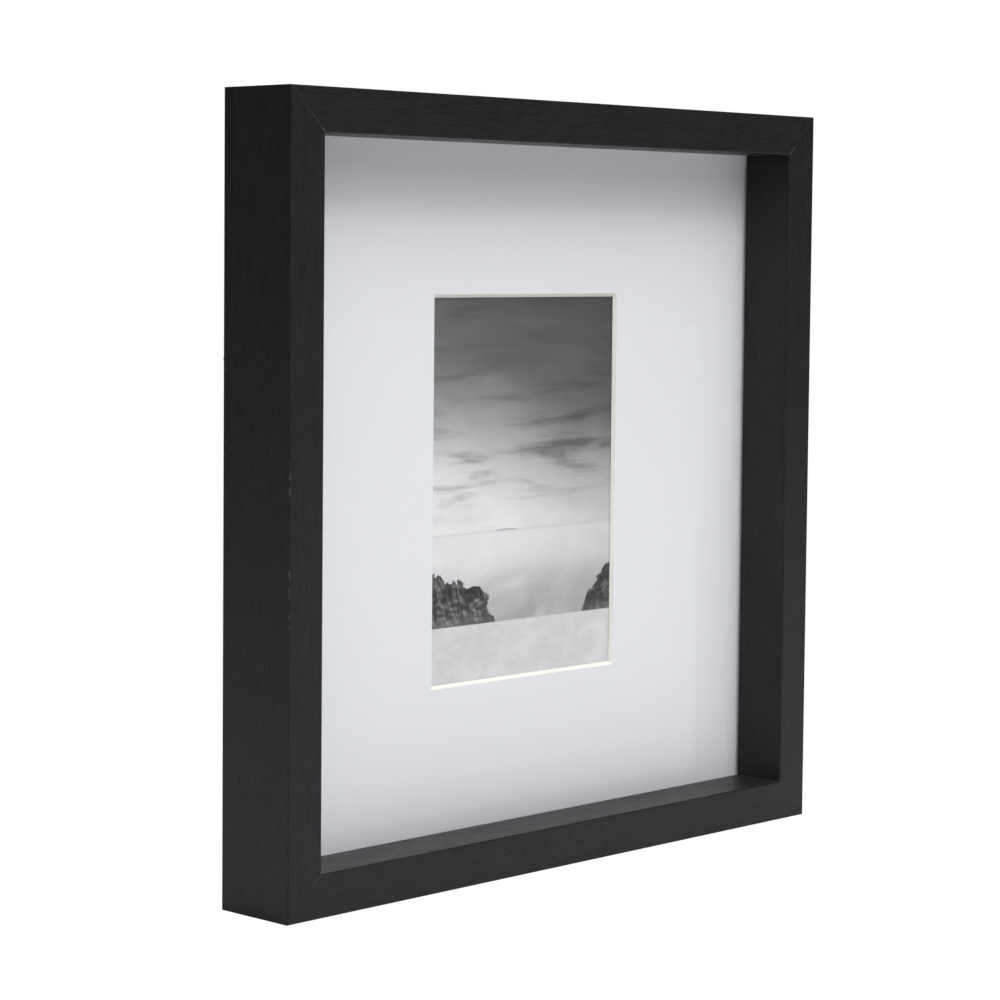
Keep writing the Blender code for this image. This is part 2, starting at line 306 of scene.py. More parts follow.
def carve(shape: Shape, tools: Iterable[Shape]) -> Shape:
    """Cuts closed tools out of a shape.

    Args:
        shape: The shape to cut; it is freed.
        tools: Closed shapes that don't touch each other; they are freed.

    Returns:
        The cut shape.
    """
    body = as_object("carved", shape)
    joined = bmesh.new()
    for tool in tools:
        part = bpy.data.meshes.new("tool")
        tool.to_mesh(part)
        tool.free()
        joined.from_mesh(part)
        bpy.data.meshes.remove(part)
    cutter = as_object("tools", joined)
    modifier = body.modifiers.new("cut", "BOOLEAN")
    modifier.operation = "DIFFERENCE"
    modifier.object = cutter
    carved = bmesh.new()
    carved.from_object(body, bpy.context.evaluated_depsgraph_get())
    for used in (body, cutter):
        mesh = used.data
        bpy.data.objects.remove(used)
        bpy.data.meshes.remove(mesh)
    return carved


def fit(node: str, shape: Shape, slot: Slot, *finishes: bpy.types.Material) -> bpy.types.Object:
    """Makes the finished piece that stands for a CAD node.

    Args:
        node: The CAD node that it replaces and whose body it rides on.
        shape: Its shape, in place; it is freed.
        slot: The record's slot for its finish; not used.
        finishes: Its materials, in the order of the faces' indices.

    Returns:
        The piece.
    """
    bmesh.ops.recalc_face_normals(shape, faces=shape.faces)
    piece = as_object("finished_" + node, shape)
    for finish in finishes:
        piece.data.materials.append(finish)
    piece.data.shade_smooth()
    piece.data.set_sharp_from_angle(angle=SHARP_ANGLE)
    flat = piece.modifiers.new("flat faces stay flat", "WEIGHTED_NORMAL")
    flat.keep_sharp = True
    flat.weight = 100
    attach(piece, frame["nodes"][node]["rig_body"])
    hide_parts(node)
    LOG.info("%s: %d faces", piece.name, len(piece.data.polygons))
    return piece


# The box's own sizes


@dataclass(frozen=True)
class Layout:
    """Driving sizes of the box, read from its CAD nodes.

    Attributes:
        side: Outer width and height.
        front: Depth coordinate of the face.
        back: Depth coordinate of the moulding's rear.
        face_width: Outer side to sight edge.
        shoulder_y: Depth coordinate of the rabbet's shoulder.
        wall: Width of the moulding behind the shoulder.
        centre: Middle of the square, at y = 0.
    """

    side: float
    front: float
    back: float
    face_width: float
    shoulder_y: float
    wall: float
    centre: Vector

    @classmethod
    def from_cad(cls, stand_off: float = 0.3 * MM, panel_play: float = 0.4 * MM) -> "Layout":
        """Reads the sizes.

        Args:
            stand_off: Gap between the shoulder and the glass.
            panel_play: Gap round the panels in the rabbet.

        Returns:
            The layout.
        """
        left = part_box("rail_left")[0].x
        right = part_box("rail_right")[1].x
        low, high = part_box("rail_bottom")
        pane_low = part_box("glass_pane")[0]
        return cls(
            side=right - left,
            front=low.y,
            back=high.y,
            face_width=high.z - low.z,
            shoulder_y=pane_low.y - stand_off,
            wall=pane_low.z - low.z - panel_play,
            centre=Vector(((left + right) / 2, 0, low.z + (right - left) / 2)),
        )

    def round_square(self, turn: float) -> Matrix:
        """Takes a shape made about the square's middle to the side or corner with this turn."""
        return Matrix.Translation(self.centre) @ Matrix.Rotation(turn, 4, "Y")

    def corner_spot(self, corner: Corner, inset: float, y: float) -> Vector:
        """A point near a corner.

        Args:
            corner: Which corner.
            inset: Its distance from both outer sides.
            y: Its depth.

        Returns:
            The point.
        """
        reach = inset - self.side / 2
        return self.round_square(corner.turn) @ Vector((reach, y, reach))


def facing_back(spot: Vector, turn: float = 0.0) -> Matrix:
    """Takes a shape that points along +Z to this spot on the back, pointing out of it."""
    lean = Matrix.Rotation(turn, 4, "Y") @ Matrix.Rotation(-QUARTER, 4, "X")
    return Matrix.Translation(spot) @ lean


# Node helpers


class Nodes:
    """Adds nodes to one node tree and links them."""

    def __init__(self, tree: bpy.types.NodeTree) -> None:
        """Works on this tree."""
        self.tree = tree

    def add(self, kind: str, **settings: object) -> bpy.types.Node:
        """Adds a node.

        Args:
            kind: The node's type.
            settings: Properties to set on it.

        Returns:
            The node.
        """
        node = self.tree.nodes.new(kind)
        for name, value in settings.items():
            setattr(node, name, value)
        return node

    def feed(self, target: bpy.types.NodeSocket, value: Value) -> None:
        """Links a socket into another, or sets a plain value on it.

        Args:
            target: The input socket.
            value: A socket, a number or a tuple of numbers.
        """
        if isinstance(value, bpy.types.NodeSocket):
            self.tree.links.new(value, target)
        else:
            target.default_value = value

    def maths(self, operation: str, *values: Value, clamp: bool = False) -> bpy.types.NodeSocket:
        """The result of a Math node.

        Args:
            operation: What it does, such as MULTIPLY.
            values: Its inputs.
            clamp: Keeps the result from 0 to 1.

        Returns:
            Its output socket.
        """
        node = self.add("ShaderNodeMath", operation=operation, use_clamp=clamp)
        for target, value in zip(node.inputs, values):
            self.feed(target, value)
        return node.outputs[0]

    def times(self, first: Value, second: Value) -> bpy.types.NodeSocket:
        """One value multiplied by another."""
        return self.maths("MULTIPLY", first, second)

    def plus(self, first: Value, second: Value) -> bpy.types.NodeSocket:
        """The sum of two values."""
        return self.maths("ADD", first, second)

    def minus(self, first: Value, second: Value) -> bpy.types.NodeSocket:
        """The first value less the second."""
        return self.maths("SUBTRACT", first, second)

    def fused(self, value: Value, scale: Value, start: Value) -> bpy.types.NodeSocket:
        """A value multiplied by a scale and added to a start."""
        return self.maths("MULTIPLY_ADD", value, scale, start)

    def size_of(self, value: Value) -> bpy.types.NodeSocket:
        """A value without its sign."""
        return self.maths("ABSOLUTE", value)

    def stretch(self, vector: Value, scale: tuple[float, float, float]) -> bpy.types.NodeSocket:
        """A vector scaled axis by axis.

        Args:
            vector: The vector.
            scale: What each axis is multiplied by.

        Returns:
            The scaled vector's socket.
        """
        node = self.add("ShaderNodeVectorMath", operation="MULTIPLY")
        self.feed(node.inputs[0], vector)
        self.feed(node.inputs[1], scale)
        return node.outputs[0]

    def mapped(
        self,
        vector: Value,
        location: Sequence[float] = (0, 0, 0),
        rotation: Sequence[float] = (0, 0, 0),
        scale: Sequence[float] = (1, 1, 1),
    ) -> bpy.types.NodeSocket:
        """A vector scaled, then turned, then shifted.

        Args:
            vector: The vector to map.
            location: The shift.
            rotation: The turn, in radians.
            scale: The scale on each axis.

        Returns:
            The mapped vector's socket.
        """
        node = self.add("ShaderNodeMapping")
        names = ("Vector", "Location", "Rotation", "Scale")
        for name, value in zip(names, (vector, location, rotation, scale)):
            self.feed(node.inputs[name], value)
        return node.outputs[0]

    def axes(self, vector: Value) -> tuple[bpy.types.NodeSocket, ...]:
        """Takes a vector apart.

        Args:
            vector: The vector.

        Returns:
            The sockets of its X, Y and Z.
        """
        node = self.add("ShaderNodeSeparateXYZ")
        self.feed(node.inputs[0], vector)
        return tuple(node.outputs)

    def object_place(self) -> bpy.types.NodeSocket:
        """Where the surface is, in metres."""
        return self.add("ShaderNodeTexCoord").outputs["Object"]

    def noise(
        self,
        vector: Value,
        scale: Union[float, tuple[float, float, float]],
        detail: float = 2.0,
        roughness: float = 0.5,
        distortion: float = 0.0,
    ) -> bpy.types.NodeSocket:
        """A noise texture's value.

        Args:
            vector: Where it is read.
            scale: Features per unit, or features per unit on each axis.
            detail: Octaves.
            roughness: How strong the finer octaves are.
            distortion: How much it swirls.

        Returns:
            Its value, from 0 to 1.
        """
        if isinstance(scale, tuple):
            vector, scale = self.stretch(vector, scale), 1.0
        node = self.add("ShaderNodeTexNoise")
        names = ("Vector", "Scale", "Detail", "Roughness", "Distortion")
        for name, value in zip(names, (vector, scale, detail, roughness, distortion)):
            self.feed(node.inputs[name], value)
        return node.outputs["Fac"]

    def cells(self, vector: Value, scale: float) -> bpy.types.NodeSocket:
        """The distance to the nearest of many scattered points.

        Args:
            vector: Where it is read.
            scale: Points per unit.

        Returns:
            The distance's socket.
        """
        node = self.add("ShaderNodeTexVoronoi", feature="F1")
        self.feed(node.inputs["Vector"], vector)
        self.feed(node.inputs["Scale"], scale)
        return node.outputs["Distance"]

    def spread(
        self, value: Value, low: float, high: float, to_low: float = 0.0, to_high: float = 1.0
    ) -> bpy.types.NodeSocket:
        """A value carried smoothly from one range to another, and kept in it.

        Args:
            value: The value.
            low: Start of its range.
            high: End of its range.
            to_low: What low becomes.
            to_high: What high becomes.

        Returns:
            The new value's socket.
        """
        node = self.add("ShaderNodeMapRange", interpolation_type="SMOOTHSTEP")
        for target, item in zip(node.inputs, (value, low, high, to_low, to_high)):
            self.feed(target, item)
        return node.outputs[0]

    def mix(
        self, factor: Value, first: Value, second: Value, how: str = "MIX"
    ) -> bpy.types.NodeSocket:
        """Mixes two colours.

        Args:
            factor: Share of the second.
            first: First colour.
            second: Second colour.
            how: The blending mode.

        Returns:
            The mixed colour's socket.
        """
        node = self.add("ShaderNodeMix", data_type="RGBA", blend_type=how)
        inputs = [s for s in node.inputs if s.type == "RGBA"]
        self.feed(node.inputs[0], factor)
        for target, value in zip(inputs, (first, second)):
            self.feed(target, (*value, 1.0) if isinstance(value, tuple) else value)
        return next(s for s in node.outputs if s.type == "RGBA")

    def either(self, share: Value, first: Value, second: Value) -> bpy.types.NodeSocket:
        """Mixes two shaders.

        Args:
            share: Share of the second.
            first: The first shader.
            second: The second shader.

        Returns:
            The mixed shader's socket.
        """
        node = self.add("ShaderNodeMixShader")
        for target, value in zip(node.inputs, (share, first, second)):
            self.feed(target, value)
        return node.outputs[0]

    def grey(
        self, value: Value, tint: tuple[float, float, float] = (1.0, 1.0, 1.0)
    ) -> bpy.types.NodeSocket:
        """A brightness made a colour.

        Args:
            value: The brightness.
            tint: What red, green and blue are multiplied by.

        Returns:
            The colour's socket.
        """
        node = self.add("ShaderNodeCombineXYZ")
        for target, share in zip(node.inputs, tint):
            self.feed(target, self.times(value, share))
        return node.outputs[0]

    def bump(self, height: Value, distance: float, strength: float = 1.0) -> bpy.types.NodeSocket:
        """A normal that follows a height.

        Args:
            height: The height, from 0 to 1.
            distance: Depth that a height of 1 stands for.
            strength: How strongly the normal follows it.

        Returns:
            The normal's socket.
        """
        node = self.add("ShaderNodeBump")
        for name, value in (("Height", height), ("Distance", distance), ("Strength", strength)):
            self.feed(node.inputs[name], value)
        return node.outputs[0]

    def attribute(self, name: str) -> bpy.types.NodeSocket:
        """The value of one of the piece's own attributes."""
        return self.add("ShaderNodeAttribute", attribute_name=name).outputs["Fac"]

    def effect(self, which: "Effect", **inputs: Value) -> dict[str, bpy.types.NodeSocket]:
        """Places a shared effect.

        Args:
            which: The effect.
            inputs: Values for its inputs, by name.

        Returns:
            Its outputs, by name.
        """
        node = self.add("ShaderNodeGroup", node_tree=which.tree())
        for name, value in inputs.items():
            self.feed(node.inputs[name], value)
        return dict(node.outputs.items())


# Shared effects


class Effect(Enum):
    """Shader node groups that more than one finish uses."""

    GRAIN = "wood_grain"
    WEAR = "edge_wear"
    DUST = "settled_dust"
    TOOTH = "paper_tooth"
    PLATING = "metal_plating"

    def tree(self) -> bpy.types.NodeTree:
        """The effect's node group, built when it is first asked for."""
        found = bpy.data.node_groups.get(self.value)
        return found or EFFECT_BUILDERS[self](self.value)


def open_group(
    name: str, inputs: dict[str, str], outputs: Sequence[str]
) -> tuple[bpy.types.NodeTree, Nodes, dict, dict]:
    """Starts a shader node group with named sockets.

    Args:
        name: The group's name.
        inputs: Its inputs: the name and Float or Vector.
        outputs: Names of its outputs, which are all values.

    Returns:
        The tree, its node helper, its inputs by name and its outputs by name.
    """
    tree = bpy.data.node_groups.new(name, "ShaderNodeTree")
    for label, kind in inputs.items():
        tree.interface.new_socket(label, in_out="INPUT", socket_type="NodeSocket" + kind)
    for label in outputs:
        tree.interface.new_socket(label, in_out="OUTPUT", socket_type="NodeSocketFloat")
    nodes = Nodes(tree)
    entry = nodes.add("NodeGroupInput")
    leave = nodes.add("NodeGroupOutput")
    return tree, nodes, dict(entry.outputs.items()), dict(leave.inputs.items())


def build_grain(name: str) -> bpy.types.NodeTree:
    """Fibres, open pores and broad figure of wood whose grain runs along the vector's X.

    Args:
        name: The group's name.

    Returns:
        The group, which puts out Fibre, Pores and Figure.
    """
    tree, nodes, given, result = open_group(name, {"Place": "Vector"}, ("Fibre", "Pores", "Figure"))
    place = given["Place"]
    long = nodes.stretch(place, (1 / 20, 1, 1))
    fibre = nodes.noise(long, 2600, detail=4, roughness=0.62)
    nodes.feed(result["Fibre"], nodes.spread(fibre, 0.28, 0.72))
    short = nodes.stretch(place, (1 / 8, 1, 1))
    pores = nodes.noise(short, 2000, detail=2, roughness=0.5, distortion=0.2)
    nodes.feed(result["Pores"], nodes.spread(pores, 0.56, 0.74))
    broad = nodes.stretch(place, (1 / 7, 1, 1))
    figure = nodes.noise(broad, 230, detail=4, roughness=0.6, distortion=0.5)
    nodes.feed(result["Figure"], nodes.spread(figure, 0.3, 0.7))
    return tree


def build_wear(
    name: str,
    patchiness: float = 0.8,
    bare: float = 1.24,
    reach: float = 0.2,
    sharpness: float = 16.0,
) -> bpy.types.NodeTree:
    """Short bright nicks where an edge has been rubbed.

    Args:
        name: The group's name.
        patchiness: How strongly the nicks gather in patches.
        bare: Level that noise must pass to make a nick when Amount is 0.
        reach: How far Amount lowers that level.
        sharpness: How quickly a nick comes up to full strength.

    Returns:
        The group, which puts out Mask.
    """
    inputs = {"Place": "Vector", "Edge": "Float", "Amount": "Float"}
    tree, nodes, given, result = open_group(name, inputs, ("Mask",))
    dashes = nodes.noise(nodes.stretch(given["Place"], (0.3, 1, 1)), 900, detail=2, roughness=0.5)
    patches = nodes.noise(given["Place"], 16, detail=1)
    chance = nodes.plus(dashes, nodes.times(patches, patchiness))
    threshold = nodes.minus(bare, nodes.times(given["Amount"], reach))
    above = nodes.maths("MULTIPLY", nodes.minus(chance, threshold), sharpness, clamp=True)
    nodes.feed(result["Mask"], nodes.times(above, given["Edge"]))
    return tree


def build_dust(name: str) -> bpy.types.NodeTree:
    """Scattered fine specks and lint, and a thin uneven film.

    Args:
        name: The group's name.

    Returns:
        The group, which puts out Specks and Film.
    """
    tree, nodes, given, result = open_group(name, {"Place": "Vector"}, ("Specks", "Film"))
    specks = nodes.cells(given["Place"], 260)
    nodes.feed(result["Specks"], nodes.spread(specks, 0.045, 0.02))
    film = nodes.noise(given["Place"], 55, detail=4, roughness=0.65)
    nodes.feed(result["Film"], nodes.spread(film, 0.35, 0.75))
    return tree


def build_tooth(name: str) -> bpy.types.NodeTree:
    """The fine felt of paper and board: pits, and stray fibres.

    Args:
        name: The group's name.

    Returns:
        The group, which puts out Height and Fibres.
    """
    tree, nodes, given, result = open_group(name, {"Place": "Vector"}, ("Height", "Fibres"))
    pits = nodes.noise(given["Place"], 1500, detail=4, roughness=0.6)
    clouds = nodes.noise(given["Place"], 160, detail=3, roughness=0.5)
    height = nodes.plus(nodes.times(pits, 0.7), nodes.times(clouds, 0.3))
    nodes.feed(result["Height"], height)
    strands = nodes.noise(given["Place"], 900, detail=1, roughness=0.4, distortion=3.0)
    nodes.feed(result["Fibres"], nodes.spread(strands, 0.60, 0.72))
    return tree


def build_plating(name: str) -> bpy.types.NodeTree:
    """The faint drag marks, orange peel and smudges of thin plating on steel.

    Args:
        name: The group's name.

    Returns:
        The group, which puts out Tone, Marks and Height.
    """
    tree, nodes, given, result = open_group(name, {"Place": "Vector"}, ("Tone", "Marks", "Height"))
    drag = nodes.noise(nodes.stretch(given["Place"], (1, 1, 0.06)), 5200, detail=3, roughness=0.6)
    smudge = nodes.noise(given["Place"], 240, detail=3, roughness=0.6, distortion=0.6)
    peel = nodes.noise(given["Place"], 1600, detail=2, roughness=0.5)
    nodes.feed(result["Tone"], nodes.spread(smudge, 0.3, 0.75))
    nodes.feed(result["Marks"], nodes.spread(drag, 0.35, 0.7))
    nodes.feed(result["Height"], nodes.plus(peel, nodes.times(drag, 0.4)))
    return tree


EFFECT_BUILDERS = {
    Effect.GRAIN: build_grain,
    Effect.WEAR: build_wear,
    Effect.DUST: build_dust,
    Effect.TOOTH: build_tooth,
    Effect.PLATING: build_plating,
}


# Finishes


def new_finish(
    name: str, **constants: Value
) -> tuple[bpy.types.Material, Nodes, bpy.types.NodeInputs]:
    """Starts a material with one Principled shader.

    Args:
        name: The material's name.
        constants: Plain values for the shader's sockets, by name with _ for spaces.

    Returns:
        The material, its node helper and the shader's inputs.
    """
    material = bpy.data.materials.new(name)
    material.use_nodes = True
    shader = material.node_tree.nodes["Principled BSDF"]
    for key, value in constants.items():
        shader.inputs[key.replace("_", " ")].default_value = value
    return material, Nodes(material.node_tree), shader.inputs


@dataclass(frozen=True)
class BlackStainedWood:
    """Open-pored wood under a thin satin black stain.

    Attributes:
        body: Colour of the stain between the fibres.
        fibre: Colour of the fibres that took less stain.
        pore: Colour of the stain pooled in the pores.
        nick: Colour of a rubbed edge.
        nick_reach: How far behind the face the edges are rubbed.
        rubbing: How rubbed the edges are.
        speck: Colour of a speck of dust.
        seam: Colour of the pale line along a mitre, a painted highlight standing for light caught
            at the joint.
        seam_width: Half the width of that line.
        seam_reach: Length of its strongest part, from the sight edge outwards.
        seam_low: How much of it shows at the lower corners; the painted highlight is strongest at
            the upper corners.
        grain_shift: How far each rail's grain is shifted from the one before.
        pore_share: How strongly the pores show.
        figure_share: How strongly the broad figure shows.
        speck_share: How strongly the specks show.
        pore_rough: Roughness that the pores add.
        figure_rough: Roughness that the figure adds.
        film_rough: Roughness that the film of dust adds.
        gloss: Specular level of the lacquer.
        smooth: Roughness between the pores.
        relief: Depth of the grain.
    """

    body: tuple[float, float, float] = (0.0052, 0.0053, 0.0060)
    fibre: tuple[float, float, float] = (0.0190, 0.0192, 0.0207)
    pore: tuple[float, float, float] = (0.0022, 0.0022, 0.0028)
    nick: tuple[float, float, float] = (0.06, 0.057, 0.052)
    nick_reach: float = 12.0 * MM
    rubbing: float = 0.4
    speck: tuple[float, float, float] = (0.10, 0.10, 0.10)
    seam: tuple[float, float, float] = (0.17, 0.17, 0.17)
    seam_width: float = 0.26 * MM
    seam_reach: float = 11.0 * MM
    seam_low: float = 0.4
    grain_shift: tuple[float, float, float] = (0.235, 0.11, 0.23)
    pore_share: float = 0.85
    figure_share: float = 0.25
    speck_share: float = 0.25
    pore_rough: float = 0.12
    figure_rough: float = 0.04
    film_rough: float = 0.05
    gloss: float = 0.27
    smooth: float = 0.38
    relief: float = 0.055 * MM

    def material(self, side: Side, layout: "Layout") -> bpy.types.Material:
        """The finish of one rail.

        Args:
            side: The rail, whose length the grain follows.
            layout: Sizes of the box, which place the mitres' lines.

        Returns:
            The material.
        """
        name = "black_stained_wood_" + side.word
        material, nodes, shader = new_finish(name, Specular_IOR_Level=self.gloss)
        place = nodes.object_place()
        offset = tuple(shift * side.value for shift in self.grain_shift)
        along = nodes.mapped(place, offset, (0, side.turn % math.pi, 0))
        grain = nodes.effect(Effect.GRAIN, Place=along)
        edge = nodes.attribute(EDGE_LAYER)
        nicks = nodes.effect(Effect.WEAR, Place=along, Edge=edge, Amount=self.rubbing)["Mask"]
        depth = nodes.minus(nodes.axes(place)[1], layout.front)
        near_face = nodes.spread(depth, self.nick_reach, self.nick_reach / 2)
        nicks = nodes.times(nicks, near_face)
        dust = nodes.effect(Effect.DUST, Place=place)
        colour = nodes.mix(grain["Fibre"], self.body, self.fibre)
        colour = nodes.mix(nodes.times(grain["Pores"], self.pore_share), colour, self.pore)
        colour = nodes.mix(nodes.times(grain["Figure"], self.figure_share), colour, self.fibre)
        colour = nodes.mix(nodes.times(dust["Specks"], self.speck_share), colour, self.speck)
        colour = nodes.mix(nicks, colour, self.nick)
        # Painted highlight: a pale broken line along each mitre.
        colour = nodes.mix(self.mitre_line(nodes, place, layout), colour, self.seam)
        nodes.feed(shader["Base Color"], colour)
        rough = nodes.fused(grain["Pores"], self.pore_rough, self.smooth)
        rough = nodes.fused(grain["Figure"], self.figure_rough, rough)
        nodes.feed(shader["Roughness"], nodes.fused(dust["Film"], self.film_rough, rough))
        height = nodes.fused(grain["Pores"], -1.0, nodes.times(grain["Fibre"], 0.5))
        nodes.feed(shader["Normal"], nodes.bump(height, self.relief, 0.6))
        return material

    def mitre_line(self, nodes: Nodes, place: Value, layout: "Layout") -> bpy.types.NodeSocket:
        """The fine broken pale line along each mitre, a painted highlight that is strongest at the
        sight edge and at the upper corners.

        Args:
            nodes: Helper of the material's tree.
            place: Where the surface is.
            layout: Sizes of the box.

        Returns:
            The line's mask.
        """
        across, _, up = nodes.axes(nodes.mapped(place, location=-layout.centre))
        across = nodes.size_of(across)
        distance = nodes.minus(across, nodes.size_of(up))
        line = nodes.spread(nodes.size_of(distance), self.seam_width, self.seam_width * 0.4)
        broken = nodes.spread(nodes.noise(place, 240, detail=3), 0.40, 0.62, 0.12, 0.9)
        sight = layout.side / 2 - layout.face_width
        # Painted highlight: stronger near the sight edge and at the upper corners than at the lower
        # ones.
        strength = nodes.spread(across, sight + self.seam_reach, sight, 0.3, 1.0)
        strength = nodes.times(strength, nodes.spread(up, -sight, sight, self.seam_low, 1.0))
        return nodes.times(line, nodes.times(broken, strength))


@dataclass(frozen=True)
class ClearGlass:
    """Float glass: it lets lamps and scattered light through.

    Attributes:
        tint: Colour of a thick edge.
        coated: How much of the bare glass's reflection its coating leaves.
        index: Index of refraction.
    """

    tint: tuple[float, float, float, float] = (0.985, 0.995, 0.99, 1.0)
    coated: tuple[float, float, float, float] = (0.05, 0.05, 0.055, 1.0)
    index: float = 1.46

    def material(self) -> bpy.types.Material:
        """The finish of the pane.

        Returns:
            The material.
        """
        material, nodes, shader = new_finish(
            "clear_glass",
            Base_Color=self.tint,
            IOR=self.index,
            Specular_Tint=self.coated,
            Transmission_Weight=1.0,
            Roughness=0.0,
        )
        smear = nodes.noise(nodes.object_place(), 38, detail=2, roughness=0.5)
        nodes.feed(shader["Normal"], nodes.bump(smear, 0.004 * MM, 0.3))
        rays = nodes.add("ShaderNodeLightPath").outputs
        passing = nodes.maths("MAXIMUM", rays["Is Shadow Ray"], rays["Is Diffuse Ray"])
        glossy = nodes.tree.nodes["Principled BSDF"].outputs[0]
        clear = nodes.add("ShaderNodeBsdfTransparent").outputs[0]
        surface = nodes.tree.nodes["Material Output"].inputs["Surface"]
        nodes.feed(surface, nodes.either(passing, glossy, clear))
        return material


@dataclass(frozen=True)
class Paper:
    """Uncoated paper or board.

    Attributes:
        name: The material's name.
        colour: Its colour.
        fleck: Colour of its stray fibres.
        flecks: How much they show.
        tooth: Depth of its felt.
        rough: Roughness in the pits.
        rough_range: How much smoother the tops are.
    """

    name: str
    colour: tuple[float, float, float]
    fleck: tuple[float, float, float]
    flecks: float = 0.05
    tooth: float = 0.02 * MM
    rough: float = 0.92
    rough_range: float = 0.08

    def material(self) -> bpy.types.Material:
        """The finish of a sheet or a cut edge.

        Returns:
            The material.
        """
        material, nodes, shader = new_finish(self.name, Specular_IOR_Level=0.15)
        felt = nodes.effect(Effect.TOOTH, Place=nodes.object_place())
        share = nodes.times(felt["Fibres"], self.flecks)
        shade = nodes.spread(felt["Height"], 0.3, 0.7, 0.985, 1.0)
        colour = nodes.mix(share, self.colour, self.fleck)
        nodes.feed(shader["Base Color"], nodes.mix(1.0, colour, nodes.grey(shade), "MULTIPLY"))
        rough = nodes.spread(felt["Height"], 0.2, 0.8, self.rough, self.rough - self.rough_range)
        nodes.feed(shader["Roughness"], rough)
        nodes.feed(shader["Normal"], nodes.bump(felt["Height"], self.tooth, 0.5))
        return material


